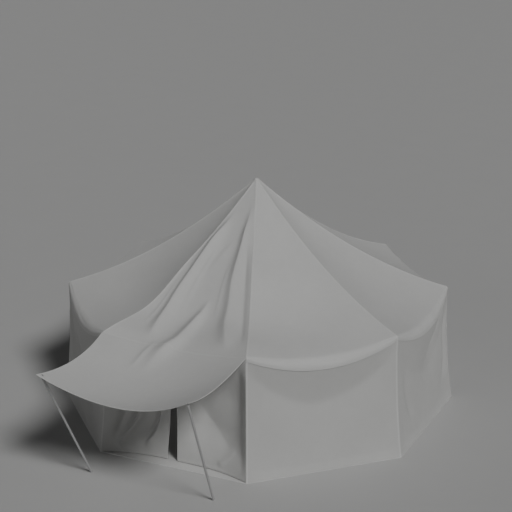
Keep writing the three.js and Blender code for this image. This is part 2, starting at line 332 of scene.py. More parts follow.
    def wall_top(self, side: int, v: Array) -> Array:
        """Draws the line where a wall or flap hangs from the roof.

        Args:
            side: The side.
            v: Places across it.

        Returns:
            The points of the line.
        """
        if side == FRONT:
            return self.roof(side, np.ones_like(v), v)
        return self.rolled_roof(side, np.full_like(v, 2.0), v, start=0.5, hem=0.0)

    def wall_foot(self, side: int, v: Array) -> Array:
        """The straight line between two foot corners, on the ground sheet."""
        out = self.foot_radius * self.apothem_share
        return self.over_side(side, out, v * self.foot_half_width, self.sheet_top)

    def hanging(self, top: Array, foot: Array, w: Array) -> Array:
        """Hangs cloth that drops plumb from its top and sweeps out to its foot.

        Args:
            top: Points of the line that it hangs from.
            foot: The points below them on the ground.
            w: Heights as a share of the cloth's, with 0 at its foot.

        Returns:
            The points.
        """
        share = (1.0 - (1.0 - w) ** self.wall_sweep)[..., None]
        points = mix(foot, top, share)
        points[..., 2] = mix(foot[..., 2], top[..., 2], w)
        return points


# Folds


@dataclass(frozen=True)
class Fold:
    """A crease that the pull of a corner draws through a panel of cloth.

    The path runs down the panel in its own places (row, v). The lift is the height of the crest, and a
    negative lift is a valley. left and right say how far the fold spreads to both sides of its path.
    """

    path: tuple[tuple[float, float], ...]
    lift: float
    left: float
    right: float
    grow: float = 0.3
    fade: float = 0.3
    top_width: float = 0.5
    sharpness: float = 0.4


@dataclass(frozen=True)
class Chart:
    """Lays the places (row, v) of a panel out flat, in metres, with y running down it."""

    top_row: float
    foot_row: float
    length: float
    top_half_width: float
    foot_half_width: float

    def flat(self, row: Array, v: Array) -> tuple[Array, Array]:
        """Gives the flat place of points of the panel.

        Args:
            row: Their rows.
            v: Their places across.

        Returns:
            Distances to the right of the middle, and down from the top row.
        """
        share = (row - self.top_row) / (self.foot_row - self.top_row)
        half = mix(self.top_half_width, self.foot_half_width, np.clip(share, 0.0, 1.0))
        return v * half, share * self.length

    def lift(self, folds: Sequence[Fold], row: Array, v: Array) -> Array:
        """Adds up the lift of folds.

        Args:
            folds: The folds of the panel.
            row: Rows of the points that they lift.
            v: Their places across.

        Returns:
            How far each point is lifted.
        """
        row, v = np.broadcast_arrays(row, v)
        total = np.zeros(row.shape)
        for fold in folds:
            total += self.lift_of(fold, row, v)
        return total

    def lift_of(self, fold: Fold, row: Array, v: Array) -> Array:
        """Works out the lift of one fold.

        Args:
            fold: The fold.
            row: Rows of the points.
            v: Their places across.

        Returns:
            How far the fold lifts each point.
        """
        line_row, line_v = smooth_line(np.array(fold.path)).T
        line = np.stack(self.flat(line_row, line_v), axis=-1)
        x, y = self.flat(row, v)
        points = np.stack([x, y], axis=-1).reshape(-1, 1, 2)
        step = line[1:] - line[:-1]
        offset = points - line[:-1]
        share = np.clip((offset * step).sum(-1) / (step * step).sum(-1), 0.0, 1.0)
        apart = offset - share[..., None] * step
        distance = np.linalg.norm(apart, axis=-1)
        nearest = distance.argmin(axis=1)
        which = np.arange(len(nearest))
        way = step[nearest]
        away = apart[which, nearest]
        to_right = way[:, 1] * away[:, 0] - way[:, 0] * away[:, 1]
        progress = (nearest + share[which, nearest]) / len(step)
        width = np.where(to_right > 0.0, fold.right, fold.left)
        width = width * mix(fold.top_width, 1.0, progress)
        profile = np.exp(-((distance[which, nearest] / width) ** (2.0 - fold.sharpness)))
        strength = ease(progress / fold.grow) * ease((1.0 - progress) / fold.fade)
        return (fold.lift * profile * strength).reshape(row.shape)


def smooth_line(points: Array, steps: int = 6) -> Array:
    """Draws a smooth line through points.

    Args:
        points: The points, one a row.
        steps: How many steps lie between two of them.

    Returns:
        The points of the line.
    """
    before = np.vstack([2 * points[0] - points[1], points[:-1]])
    after = np.vstack([points[1:], 2 * points[-1] - points[-2]])
    slope = (after - before) / 2.0
    t = np.linspace(0.0, 1.0, steps, endpoint=False)[None, :, None]
    a, b = points[:-1, None, :], points[1:, None, :]
    slope_a, slope_b = slope[:-1, None, :], slope[1:, None, :]
    line = (2 * t**3 - 3 * t**2 + 1) * a + (t**3 - 2 * t**2 + t) * slope_a
    line = line + (-2 * t**3 + 3 * t**2) * b + (t**3 - t**2) * slope_b
    return np.vstack([line.reshape(-1, points.shape[1]), points[-1:]])


# Meshes


def grid_normals(grid: Array) -> Array:
    """Gives the outward normals of a grid of points.

    Args:
        grid: Points whose rows run down and whose columns run to the right, seen from outside.

    Returns:
        A unit normal for each point.
    """
    down = np.gradient(grid, axis=0)
    right = np.gradient(grid, axis=1)
    return unit(np.cross(down, right))


def grid_faces(index: Array) -> Array:
    """The four corners of each face in a grid of point numbers, turned outwards."""
    corners = (index[:-1, :-1], index[1:, :-1], index[1:, 1:], index[:-1, 1:])
    return np.stack(corners, axis=-1).reshape(-1, 4)


def rim_faces(index: Array) -> Array:
    """Joins two like grids along their four edges.

    Args:
        index: The numbers of the outer grid's points. The inner grid's points follow them.

    Returns:
        The four corners of each rim face.
    """
    loop = np.concatenate([index[:, 0], index[-1, 1:], index[-2::-1, -1], index[0, -2::-1]])
    ahead, behind = loop[1:], loop[:-1]
    return np.stack([ahead, behind, behind + index.size, ahead + index.size], axis=-1)


def flat_lengths(grid: Array) -> tuple[Array, Array]:
    """Measures a grid along the cloth, for the weave.

    Args:
        grid: The points.

    Returns:
        Distances across from the middle column, and down from the top row.
    """
    rows, columns = grid.shape[:2]
    across = np.zeros((rows, columns))
    across[:, 1:] = np.cumsum(np.linalg.norm(np.diff(grid, axis=1), axis=-1), axis=1)
    across -= across[:, columns // 2][:, None]
    spine = grid[:, columns // 2]
    down = np.concatenate([[0.0], np.cumsum(np.linalg.norm(np.diff(spine, axis=0), axis=-1))])
    return across, np.broadcast_to(down[:, None], (rows, columns))


def grid_area(grid: Array) -> float:
    """Measures the surface that a grid of points spans.

    Args:
        grid: The points.

    Returns:
        Its area.
    """
    down, across = grid[1:, :-1] - grid[:-1, :-1], grid[:-1, 1:] - grid[:-1, :-1]
    diagonal = grid[1:, 1:] - grid[:-1, :-1]
    halves = (np.cross(down, diagonal), np.cross(diagonal, across))
    return float(sum(np.linalg.norm(half, axis=-1) for half in halves).sum() / 2.0)


SHARP_ANGLE = math.radians(50)
WEAVE_MAP = "weave"


def new_object(name: str, points: Array, faces: Array, places: Array) -> bpy.types.Object:
    """Makes a mesh object from arrays.

    Args:
        name: The object's name.
        points: Its points.
        faces: The four corners of its faces. A face that names a corner twice is a triangle.
        places: A place on the flat cloth for each point, for the weave.

    Returns:
        The object, smoothly shaded but for its sharp edges.
    """
    mesh = bpy.data.meshes.new(name)
    corners_of = [list(dict.fromkeys(face)) for face in faces.tolist()]
    mesh.from_pydata(points.reshape(-1, 3).tolist(), [], corners_of)
    corners = np.zeros(len(mesh.loops), dtype=np.int32)
    mesh.loops.foreach_get("vertex_index", corners)
    layer = mesh.uv_layers.new(name=WEAVE_MAP)
    layer.data.foreach_set("uv", places.reshape(-1, 2)[corners].astype(np.float32).ravel())
    mesh.shade_smooth()
    mesh.set_sharp_from_angle(angle=SHARP_ANGLE)
    piece = bpy.data.objects.new(name, mesh)
    bpy.context.scene.collection.objects.link(piece)
    return piece


def sheet_parts(grid: Array, thickness: float) -> tuple[Array, Array, Array]:
    """Closes a thin sheet under a grid of points.

    Args:
        grid: The points of its outer face.
        thickness: How thick it is.

    Returns:
        The points, the faces, and a place on the flat cloth for each point.
    """
    index = np.arange(grid[..., 0].size).reshape(grid.shape[:2])
    inner = grid - grid_normals(grid) * thickness
    outer_faces = grid_faces(index)
    inner_faces = outer_faces[:, ::-1] + index.size
    faces = np.concatenate([outer_faces, inner_faces, rim_faces(index)])
    places = np.stack(flat_lengths(grid), axis=-1).reshape(-1, 2)
    points = np.concatenate([grid.reshape(-1, 3), inner.reshape(-1, 3)])
    return points, faces, np.concatenate([places, places])


def turned(rings: Array, first: Array, last: Array) -> tuple[Array, Array, Array]:
    """Closes a stack of rings with a point at both ends.

    Args:
        rings: Rings of points that run round the solid anticlockwise, seen from its first end.
        first: The point that closes the first ring.
        last: The point that closes the last ring.

    Returns:
        The points, the faces, and a place on the flat cloth for each point.
    """
    count, around = rings.shape[:2]
    index = np.arange(count * around).reshape(count, around)
    index = np.concatenate([index, index[:, :1]], axis=1)
    tip, heel = np.full(around, count * around), np.full(around, count * around + 1)
    start = np.stack([tip, tip, index[0, :-1], index[0, 1:]], axis=-1)
    end = np.stack([heel, heel, index[-1, 1:], index[-1, :-1]], axis=-1)
    points = np.concatenate([rings.reshape(-1, 3), [first, last]])
    return points, np.concatenate([grid_faces(index), start, end]), points[:, :2]


def tube(line: Array, radius: float, sides: int) -> tuple[Array, Array, Array]:
    """Sweeps a round section along a line.

    Args:
        line: The points of the line.
        radius: The section's radius.
        sides: How many sides the section has.

    Returns:
        The points, the faces, and a place on the flat cloth for each point.
    """
    way = unit(np.gradient(line, axis=0))
    side_on = unit(np.cross(way, np.array([0.0, 0.0, 1.0])))
    upright = np.cross(side_on, way)
    angle = np.linspace(0.0, 2 * math.pi, sides, endpoint=False)[None, :, None]
    rings = line[:, None] - radius * (np.cos(angle) * side_on[:, None] + np.sin(angle) * upright[:, None])
    return turned(rings, line[0], line[-1])


@dataclass
class Pieces:
    """Gathers small solids that become one mesh."""

    points: list[Array] = field(default_factory=list)
    faces: list[Array] = field(default_factory=list)
    places: list[Array] = field(default_factory=list)
    count: int = 0

    def add(self, points: Array, faces: Array, places: Array) -> None:
        """Adds one solid.

        Args:
            points: Its points.
            faces: The four corners of its faces.
            places: A place on the flat cloth for each point.
        """
        self.points.append(points.reshape(-1, 3))
        self.faces.append(faces + self.count)
        self.places.append(places.reshape(-1, 2))
        self.count += len(self.points[-1])

    def add_sheet(self, grid: Array, thickness: float) -> None:
        """Adds a closed thin sheet under a grid of points."""
        self.add(*sheet_parts(grid, thickness))

    def build(self, name: str) -> bpy.types.Object:
        """Makes the mesh object."""
        return new_object(name, *(np.concatenate(part) for part in (self.points, self.faces, self.places)))


# Finishes


class Signal:
    """One output of a node, on which Python's operators add Math nodes."""

    def __init__(self, graph: Graph, socket: bpy.types.NodeSocket) -> None:
        """Wraps a socket of a graph."""
        self.graph = graph
        self.socket = socket

    def math(self, operation: str, *values: Signal | float) -> Signal:
        """Adds a Math node."""
        return self.graph.node("ShaderNodeMath", {"operation": operation}, dict(enumerate(values)))

    def __add__(self, other: Signal | float) -> Signal:
        """Adds."""
        return self.math("ADD", self, other)

    def __sub__(self, other: Signal | float) -> Signal:
        """Subtracts."""
        return self.math("SUBTRACT", self, other)

    def __mul__(self, other: Signal | float) -> Signal:
        """Multiplies."""
        return self.math("MULTIPLY", self, other)

    def wave(self, period: float) -> Signal:
        """A sine wave along this value."""
        return self.math("SINE", self * (2 * math.pi / period))


class Graph:
    """The node tree of one material."""

    def __init__(self, name: str) -> None:
        """Starts a material without any nodes.

        Args:
            name: The material's name.
        """
        self.material = bpy.data.materials.new(name)
        self.material.use_nodes = True
        self.tree = self.material.node_tree
        self.tree.nodes.clear()

    def node(
        self,
        kind: str,
        settings: dict[str, str | bool],
        inputs: dict[int | str, Signal | float | tuple[float, ...]],
        output: int | str = 0,
    ) -> Signal:
        """Adds a node.

        Args:
            kind: The node's type.
            settings: Its properties, which are set first.
            inputs: Values or signals for its sockets, by name or number.
            output: The name or number of the output to give back.

        Returns:
            That output.
        """
        made = self.tree.nodes.new(kind)
        for name, value in settings.items():
            setattr(made, name, value)
        for socket, value in inputs.items():
            if isinstance(value, Signal):
                self.tree.links.new(value.socket, made.inputs[socket])
            else:
                made.inputs[socket].default_value = value
        return Signal(self, made.outputs[output] if made.outputs else None)

    def scaled(self, place: Signal, scale: tuple[float, float, float]) -> Signal:
        """Stretches a place before it goes into a texture."""
        return self.node("ShaderNodeVectorMath", {"operation": "MULTIPLY"}, {0: place, 1: scale})

    def noise(self, place: Signal, scale: float, detail: float, roughness: float = 0.5) -> Signal:
        """Adds a noise texture.

        Args:
            place: Where it is read.
            scale: How fine it is.
            detail: How many finer layers it has.
            roughness: How strong these are.

        Returns:
            Its value, from about 0 to 1.
        """
        return self.node(
            "ShaderNodeTexNoise",
            {"noise_dimensions": "3D"},
            {"Vector": place, "Scale": scale, "Detail": detail, "Roughness": roughness},
        )

    def tint(self, share: Signal, dark: Colour, light: Colour) -> Signal:
        """Mixes two colours.

        Args:
            share: How light the colour is. It is held between 0 and 1.
            dark: The colour at 0.
            light: The colour at 1.

        Returns:
            The colour.
        """
        return self.node(
            "ShaderNodeMix",
            {"data_type": "RGBA", "clamp_factor": True},
            {0: share, 6: (*dark, 1.0), 7: (*light, 1.0)},
            2,
        )

    def output(self, shader: Signal) -> bpy.types.Material:
        """Joins a shader to the output, and gives the material."""
        self.node("ShaderNodeOutputMaterial", {}, {"Surface": shader})
        return self.material

    def finish(
        self, colour: Signal, roughness: Signal, bump: Signal, **constants: float
    ) -> bpy.types.Material:
        """Finishes the material with a Principled shader.

        Args:
            colour: The base colour.
            roughness: The roughness.
            bump: The Bump node's normal.
            constants: Values set on the shader's own sockets, with _ for a space in their names.

        Returns:
            The material.
        """
        inputs = {"Base Color": colour, "Roughness": roughness, "Normal": bump}
        inputs.update({name.replace("_", " "): value for name, value in constants.items()})
        return self.output(self.node("ShaderNodeBsdfPrincipled", {}, inputs))


def shade(colour: Colour, share: float) -> Colour:
    """A colour made lighter or darker by a share."""
    return tuple(channel * (1.0 + share) for channel in colour)


@dataclass(frozen=True)
class WovenFinish:
    """Woven cloth: threads at right angles, thicker ones here and there, and an uneven tone."""

    name: str
    colour: Colour
    tone: float = 0.05  # how much lighter and darker it gets, as a share
    pitch: float = 0.0012  # of the threads, in metres
    thread_height: float = 0.0006
    roughness: float = 0.9
    sheen: float = 0.1
    thick_thread: tuple[float, float] = (260.0, 7.0)  # how fine it is across and along
    cloud_scale: float = 1.3
    patch_scale: float = 9.0

    def material(self) -> bpy.types.Material:
        """Makes the material.

        Returns:
            The material.
        """
        graph = Graph(self.name)
        place = graph.node("ShaderNodeUVMap", {"uv_map": WEAVE_MAP}, {})
        across, down = (graph.node("ShaderNodeSeparateXYZ", {}, {0: place}, axis) for axis in ("X", "Y"))
        weave = across.wave(2 * self.pitch) * down.wave(2 * self.pitch)
        warp_slub = graph.noise(graph.scaled(place, (*self.thick_thread, 1.0)), 1.0, 2.0)
        weft_slub = graph.noise(graph.scaled(place, (*self.thick_thread[::-1], 1.0)), 1.0, 2.0)
        cloud = graph.noise(place, self.cloud_scale, 3.0, 0.55)
        patch = graph.noise(place, self.patch_scale, 2.0)
        slub = (warp_slub + weft_slub) * 0.5
        share = cloud * 0.5 + patch * 0.2 + slub * 0.3
        contrast = (share - 0.5) * 2.2 + 0.5
        colour = graph.tint(contrast, shade(self.colour, -self.tone), shade(self.colour, self.tone))
        roughness = patch * 0.12 + (self.roughness - 0.06)
        height = weave * 0.5 + slub * 0.9
        bump = graph.node(
            "ShaderNodeBump", {}, {"Strength": 0.6, "Distance": self.thread_height, "Height": height}
        )
        return graph.finish(
            colour, roughness, bump, Sheen_Weight=self.sheen, Sheen_Roughness=0.6, Specular_IOR_Level=0.25
        )


@dataclass(frozen=True)
class PaintedTubeFinish:
    """Satin paint on a metal tube, with fine scuffs along it."""

    name: str
    colour: Colour
    roughness: float
    metallic: float
    tone: float = 0.1
    scuff_scale: tuple[float, float, float] = (150.0, 150.0, 6.0)

    def material(self) -> bpy.types.Material:
        """Makes the material.

        Returns:
            The material.
        """
        graph = Graph(self.name)
        place = graph.node("ShaderNodeTexCoord", {}, {}, "Object")
        scuff = graph.noise(graph.scaled(place, self.scuff_scale), 1.0, 4.0, 0.6)
        cloud = graph.noise(place, 3.0, 2.0)
        dark, light = shade(self.colour, -self.tone), shade(self.colour, self.tone)
        colour = graph.tint(scuff * 0.7 + cloud * 0.3, dark, light)
        roughness = scuff * 0.2 + (self.roughness - 0.1)
        bump = graph.node("ShaderNodeBump", {}, {"Strength": 0.25, "Distance": 0.0003, "Height": scuff})
        return graph.finish(colour, roughness, bump, Metallic=self.metallic)


@dataclass(frozen=True)
class GlowFinish:
    """An even glow, for the backdrop."""

    name: str
    colour: Colour
    strength: float

    def material(self) -> bpy.types.Material:
        """Makes the material.

        Returns:
            The material.
        """
        graph = Graph(self.name)
        inputs = {"Color": (*self.colour, 1.0), "Strength": self.strength}
        return graph.output(graph.node("ShaderNodeEmission", {}, inputs))


CANVAS_FINISH = WovenFinish("canvas", (0.56, 0.56, 0.55))
# The walls and door flaps take a darker copy of the roof's canvas: painted shade, so that they read darker
# against the roof than the lights alone make them.
SHADED_WALL_FINISH = WovenFinish("wall_canvas", (0.5, 0.5, 0.49))
TAPE_FINISH = WovenFinish(
    "canvas_tape", (0.58, 0.58, 0.57), tone=0.04, pitch=0.0009, thread_height=0.0005, roughness=0.88
)
THREAD_FINISH = WovenFinish(
    "thread", (0.6, 0.6, 0.58), pitch=0.0004, thread_height=0.0002, roughness=0.8, sheen=0.0
)
SHEET_FINISH = WovenFinish(
    "coated_sheet", (0.58, 0.58, 0.57), pitch=0.0016, thread_height=0.0004, roughness=0.7, sheen=0.0
)
POLE_FINISH = PaintedTubeFinish("painted_pole", (0.42, 0.42, 0.42), roughness=0.45, metallic=0.0)
FITTING_FINISH = PaintedTubeFinish("zinc_fitting", (0.5, 0.5, 0.5), roughness=0.4, metallic=0.9)
FLOOR_FINISH = WovenFinish(
    "studio_floor", (0.5, 0.5, 0.495), tone=0.015, pitch=0.01, thread_height=0.0, sheen=0.0
)
BACKDROP_FINISH = GlowFinish("studio_backdrop", (1.0, 1.0, 0.99), strength=0.248)


class Finishes:
    """The materials of the tent, made once each."""

    def __init__(self) -> None:
        """Makes them."""
        self.canvas = CANVAS_FINISH.material()
        self.wall_canvas = SHADED_WALL_FINISH.material()
        self.tape = TAPE_FINISH.material()
        self.thread = THREAD_FINISH.material()
        self.sheet = SHEET_FINISH.material()
        self.pole = POLE_FINISH.material()
        self.fitting = FITTING_FINISH.material()

    def dress(self, piece: bpy.types.Object, finish: bpy.types.Material, slot: Slot) -> bpy.types.Object:
        """Gives a new piece its material, and lets it ride on the tent.

        Args:
            piece: The piece.
            finish: Its material.
            slot: The record's slot that it takes its finish from. It is not used.

        Returns:
            The piece.
        """
        piece.data.materials.append(finish)
        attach(piece, BODY)
        log.info("%s: %d faces", piece.name, len(piece.data.polygons))
        return piece

    def cloth(
        self,
        node: str,
        grid: Array,
        held: str,
        rests_on: Sequence[str],
        finish: bpy.types.Material | None = None,
    ) -> bpy.types.Object:
        """Args:
            node: The plain solid's name.
            grid: The points of its outer face.
            held: How it is held up. It is not used.
            rests_on: The names of what it hangs from or lies on. It is not used.
            finish: Its material, where it isn't the roof's canvas.

        Returns:
            The panel.
        """
        pieces = Pieces()
        pieces.add_sheet(grid, CANVAS_THICKNESS)
        panel = self.dress(pieces.build(f"{node}_canvas"), finish or self.canvas, Slot.CANVAS)
        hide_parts(node)
        grid_area(grid)
        return panel


# The cloth


@dataclass(frozen=True)
class AwningEdges:
    """Where the awning's outer corners are, and how its three free edges hang."""

    left: tuple[float, float, float] = (-1.235, -4.762, 1.99)
    right: tuple[float, float, float] = (1.2, -4.711, 1.99)
    left_sag: float = 0.105
    right_sag: float = 0.16
    side_draw_in: float = 0.06
    front_sag: float = 0.378
    front_draw_in: float = 0.176


def hanging_edge(start: Array, end: Array, share: Array, sag: float, draw_in: Sequence[float]) -> Array:
    """Draws an edge that hangs between two points.

    Args:
        start: The first point.
        end: The last point.
        share: Places on the edge, from 0 to 1.
        sag: How far its middle hangs down.
        draw_in: How far its middle is drawn sideways, as a level vector.

    Returns:
        The points of the edge.
    """
    pull = np.array([draw_in[0], draw_in[1], -sag])
    return mix(start, end, share[..., None]) + pull * (4.0 * share * (1.0 - share))[..., None]


@dataclass(frozen=True)
class FrontCloth:
    """The front gore and the awning, which are one stretch of cloth with a seam at the eave.

    A row runs from 0 at the peak to 1 at the eave, and on to 2 at the awning's front edge. The folds are
    drawn over both, by the pull of the awning's corners.
    """

    plan: TentPlan
    edges: AwningEdges = AwningEdges()
    slope_length: float = 3.45
    awning_length: float = 1.95
    held_share: float = 0.12  # the part beside each side edge over which the folds die out
    edge_fade: float = 0.5  # the same before the awning's front edge, in rows
    folds: tuple[Fold, ...] = (
        # The long fold from the peak to the middle of the eave's right half
        Fold(
            (
                (0.1, 0.7), (0.25, 0.54), (0.34, 0.515), (0.45, 0.485), (0.54, 0.475), (0.65, 0.52),
                (0.76, 0.54), (0.89, 0.63), (0.98, 0.68),
            ),
            lift=0.08, left=0.115, right=0.19, grow=0.2, fade=0.22, top_width=0.35, sharpness=0.5,
        ),
        # The slack beside the right ridge
        Fold(
            ((0.3, 0.72), (0.42, 0.79), (0.54, 0.83), (0.66, 0.85), (0.81, 0.88), (0.95, 0.9)),
            lift=-0.03, left=0.12, right=0.08, grow=0.3, fade=0.25, top_width=0.4, sharpness=0.4,
        ),
        # The broad fold along the left ridge
        Fold(
            (
                (0.16, -0.6), (0.26, -0.68), (0.36, -0.7), (0.5, -0.66), (0.63, -0.67), (0.78, -0.58),
                (0.9, -0.49), (0.98, -0.45),
            ),
            lift=0.095, left=0.1, right=0.17, grow=0.3, fade=0.3, top_width=0.4, sharpness=0.5,
        ),
        # The short crease over the eave, and the two that branch off it on the awning
        Fold(
            (
                (0.6, 0.06), (0.7, 0.02), (0.8, -0.02), (0.93, -0.05), (1.0, -0.13), (1.08, -0.2),
                (1.24, -0.26),
            ),
            lift=0.085, left=0.18, right=0.16, grow=0.3, fade=0.3, top_width=0.3, sharpness=0.4,
        ),
        Fold(
            ((0.95, -0.3), (1.06, -0.37), (1.14, -0.39), (1.22, -0.42)),
            lift=0.02, left=0.06, right=0.07, grow=0.3, fade=0.5, top_width=0.6, sharpness=0.6,
        ),
        Fold(
            ((0.3, 0.2), (0.38, -0.08), (0.46, -0.2), (0.56, -0.26)),
            lift=0.012, left=0.06, right=0.12, grow=0.3, fade=0.4, top_width=0.6, sharpness=0.4,
        ),
        # Fine wrinkles beside the long folds
        Fold(
            ((0.3, -0.42), (0.45, -0.4), (0.6, -0.42), (0.76, -0.36)),
            lift=0.009, left=0.03, right=0.06, grow=0.4, fade=0.4, top_width=0.6, sharpness=0.3,
        ),
        Fold(
            ((0.4, 0.3), (0.52, 0.25), (0.64, 0.27), (0.74, 0.3)),
            lift=0.008, left=0.03, right=0.06, grow=0.4, fade=0.4, top_width=0.6, sharpness=0.3,
        ),
        Fold(
            ((0.5, -0.86), (0.62, -0.85), (0.76, -0.78), (0.9, -0.7)),
            lift=0.009, left=0.03, right=0.05, grow=0.4, fade=0.4, top_width=0.6, sharpness=0.3,
        ),
    )

    @property
    def chart(self) -> Chart:
        """Lays the front gore out flat. The chart runs on over the awning.

        Returns:
            The chart.
        """
        return Chart(
            top_row=0.0,
            foot_row=1.0,
            length=self.slope_length,
            top_half_width=0.0,
            foot_half_width=self.plan.eave_half_width,
        )

    def lift(self, row: Array, v: Array) -> Array:
        """Works out how far the folds lift the cloth, which is held at its side edges.

        Args:
            row: Rows, from 0 at the peak to 2 at the awning's front edge.
            v: Places across.

        Returns:
            The heights.
        """
        held = ease((1.0 - np.abs(v)) / self.held_share) * ease((2.0 - row) / self.edge_fade)
        drawn_row = np.where(row > 1.0, 1.0 + (row - 1.0) * self.awning_length / self.slope_length, row)
        return self.chart.lift(self.folds, drawn_row, v) * held

    def roof(self, run: Array, v: Array) -> Array:
        """Gives points of the front gore.

        Args:
            run: Shares of the way down from the peak to the eave.
            v: Places across.

        Returns:
            The points.
        """
        points = self.plan.roof(FRONT, run, v)
        points[..., 2] += self.lift(run, v)
        return points

    def awning(self, out: Array, v: Array) -> Array:
        """Gives points of the awning, filled in between its four edges.

        Args:
            out: Shares of the way out from the eave, from 0 to 1.
            v: Places across.

        Returns:
            The points.
        """
        out, v = np.broadcast_arrays(out, v)
        across = (v + 1.0) / 2.0
        inner_left, inner_right = self.plan.roof(FRONT, np.ones(2), np.array([-1.0, 1.0]))
        outer_left, outer_right = np.array(self.edges.left), np.array(self.edges.right)
        inwards = (self.edges.side_draw_in, 0.0)
        outwards = (-self.edges.side_draw_in, 0.0)
        left = hanging_edge(inner_left, outer_left, out, self.edges.left_sag, inwards)
        right = hanging_edge(inner_right, outer_right, out, self.edges.right_sag, outwards)
        back = self.plan.roof(FRONT, np.ones_like(v), v)
        front_draw_in = (0.0, self.edges.front_draw_in)
        front = hanging_edge(outer_left, outer_right, across, self.edges.front_sag, front_draw_in)
        back_chord = mix(inner_left, inner_right, across[..., None])
        front_chord = mix(outer_left, outer_right, across[..., None])
        points = mix(back, front, out[..., None]) + mix(left, right, across[..., None])
        points = points - mix(back_chord, front_chord, out[..., None])
        points[..., 2] += self.lift(1.0 + out, v)
        return points


def spread_columns(half_width: Array, count: int, marks: Sequence[float]) -> Array:
    """Spreads the columns of a panel, with some at fixed distances from both edges.

    Args:
        half_width: Half the panel's width at each row, as a column.
        count: Columns between the innermost marks, these included.
        marks: The distances, from 0 inwards.

    Returns:
        The place across of each point of the grid.
    """
    widest_share = 0.3
    inset = np.array(marks)[None, :] / half_width
    inset = inset * np.minimum(1.0, widest_share / inset[:, -1:])
    middle = mix(inset[:, -1:] - 1.0, 1.0 - inset[:, -1:], np.linspace(0.0, 1.0, count)[None, :])
    return np.concatenate([inset[:, :-1] - 1.0, middle, 1.0 - inset[:, -2::-1]], axis=1)


def hem_rise(distance: Array, width: float, rise: float) -> Array:
    """Works out how far a turned hem stands proud.

    Args:
        distance: Distances from the cloth's edge.
        width: How wide the hem is.
        rise: How far it stands proud in full.

    Returns:
        The heights.
    """
    return rise * ease((width + HEM_FALL - distance) / HEM_FALL)


@dataclass
class Roof:
    """Eight gores, sewn along the ridges under a tape and rolled over the eave."""

    plan: TentPlan
    front: FrontCloth
    finishes: Finishes
    start: float = 0.009  # the run at which a gore starts, beside the peak
    hem: float = 0.034
    rows: int = 70
    columns: int = 64
    front_rows: int = 150
    front_columns: int = 132
    front_roll_run: float = 0.99
    roll_rows: int = 22
    hem_stages: tuple[float, ...] = (2.4, 2.8, 3.0)
    edge_marks: tuple[float, ...] = (0.0, 0.012, 0.024)
    tape_half_width: float = 0.022

    def side_stages(self) -> Array:
        """Spreads the rows of a gore that rolls over the eave.

        Returns:
            Their stages, as a column.
        """
        slope = np.linspace(0.0, 1.0, self.rows)
        roll = np.linspace(1.0, 2.0, self.roll_rows)[1:]
        return column([*slope, *roll, *self.hem_stages])

    def gore_points(self, side: int, stage: Array, v: Array) -> Array:
        """Gives points of a gore.

        Args:
            side: The side.
            stage: Stages: 0 at the peak, 1 where the roll over the eave starts, 2 where it ends and
                3 at the hem's edge. The front gore ends at 2, flat.
            v: Places across.

        Returns:
            The points.
        """
        stage, v = np.broadcast_arrays(stage, v)
        if side != FRONT:
            return self.plan.rolled_roof(side, stage, v, self.start, self.hem)
        run = mix(self.start, self.front_roll_run, np.clip(stage, 0.0, 1.0))
        return self.front.roof(mix(run, 1.0, np.clip(stage - 1.0, 0.0, 1.0)), v)

    def half_width(self, stage: Array) -> Array:
        """Half a gore's width at a stage."""
        return self.plan.eave_half_width * np.clip(stage, self.start, 1.0)

    def gore(self, side: int) -> Array:
        """Lays out the grid of one gore.

        Args:
            side: The side.

        Returns:
            The grid.
        """
        if side == FRONT:
            stage = column(np.append(np.linspace(0.0, 1.0, self.front_rows), 2.0))
            columns = self.front_columns
        else:
            stage = self.side_stages()
            columns = self.columns
        v = spread_columns(self.half_width(stage), columns, self.edge_marks)
        return self.gore_points(side, stage, v)

    def ridge_tape(self, corner: int) -> Array:
        """Lays out the tape over one ridge, from the peak to the eave.

        Args:
            corner: The corner that the ridge runs to.

        Returns:
            The grid of its outer face.
        """
        left_side, right_side = corner, (corner + 1) % self.plan.sides
        at_front = FRONT in (left_side, right_side)
        left_out = len(self.hem_stages) if at_front else 1
        stage = self.side_stages()[:-left_out]
        return lapped_tape(
            lambda inset: self.gore_points(left_side, stage, 1.0 - inset / self.half_width(stage)),
            lambda inset: self.gore_points(right_side, stage, inset / self.half_width(stage) - 1.0),
            self.tape_half_width,
        )

    def build(self, tapes: Pieces, stitches: Stitches) -> None:
        """Builds the gores, and adds the tapes over the ridges.

        Args:
            tapes: Takes the tapes.
            stitches: Takes the rows of stitches.
        """
        for side, name in enumerate(SIDE_NAMES):
            grid = self.gore(side)
            corners = (CORNER_NAMES[side - 1], CORNER_NAMES[side])
            held_by = ("centre_pole", *(f"corner_pole_{corner}" for corner in corners))
            self.finishes.cloth(f"roof_{name}", grid, "stretched", held_by)
            if side != FRONT:
                hem_row = -len(self.hem_stages)
                stitches.sew(grid, np.s_[hem_row, 1:-1])
        for corner in range(self.plan.sides):
            stitches.sew_tape(tapes, self.ridge_tape(corner))


def lapped_tape(
    left: Callable[[float], Array], right: Callable[[float], Array], half_width: float
) -> Array:
    """Lays a tape over the seam between two panels.

    Args:
        left: Gives a column of the left panel's points at an inset from the seam.
        right: The same for the right panel.
        half_width: Half the tape's width.

    Returns:
        The grid of the tape's outer face.
    """
    shares = (1.0, 0.94, 0.62, 0.3, 0.1)  # of the half width, for the columns on each side
    edge_rise = 0.0004
    columns = [left(half_width * share)[:, 0] for share in shares]
    columns.append((left(0.0)[:, 0] + right(0.0)[:, 0]) / 2.0)
    columns += [right(half_width * share)[:, 0] for share in shares[::-1]]
    grid = np.stack(columns, axis=1)
    rise = np.full(grid.shape[1], TAPE_THICKNESS)
    rise[[0, -1]] = edge_rise
    return grid + grid_normals(grid) * rise[None, :, None]


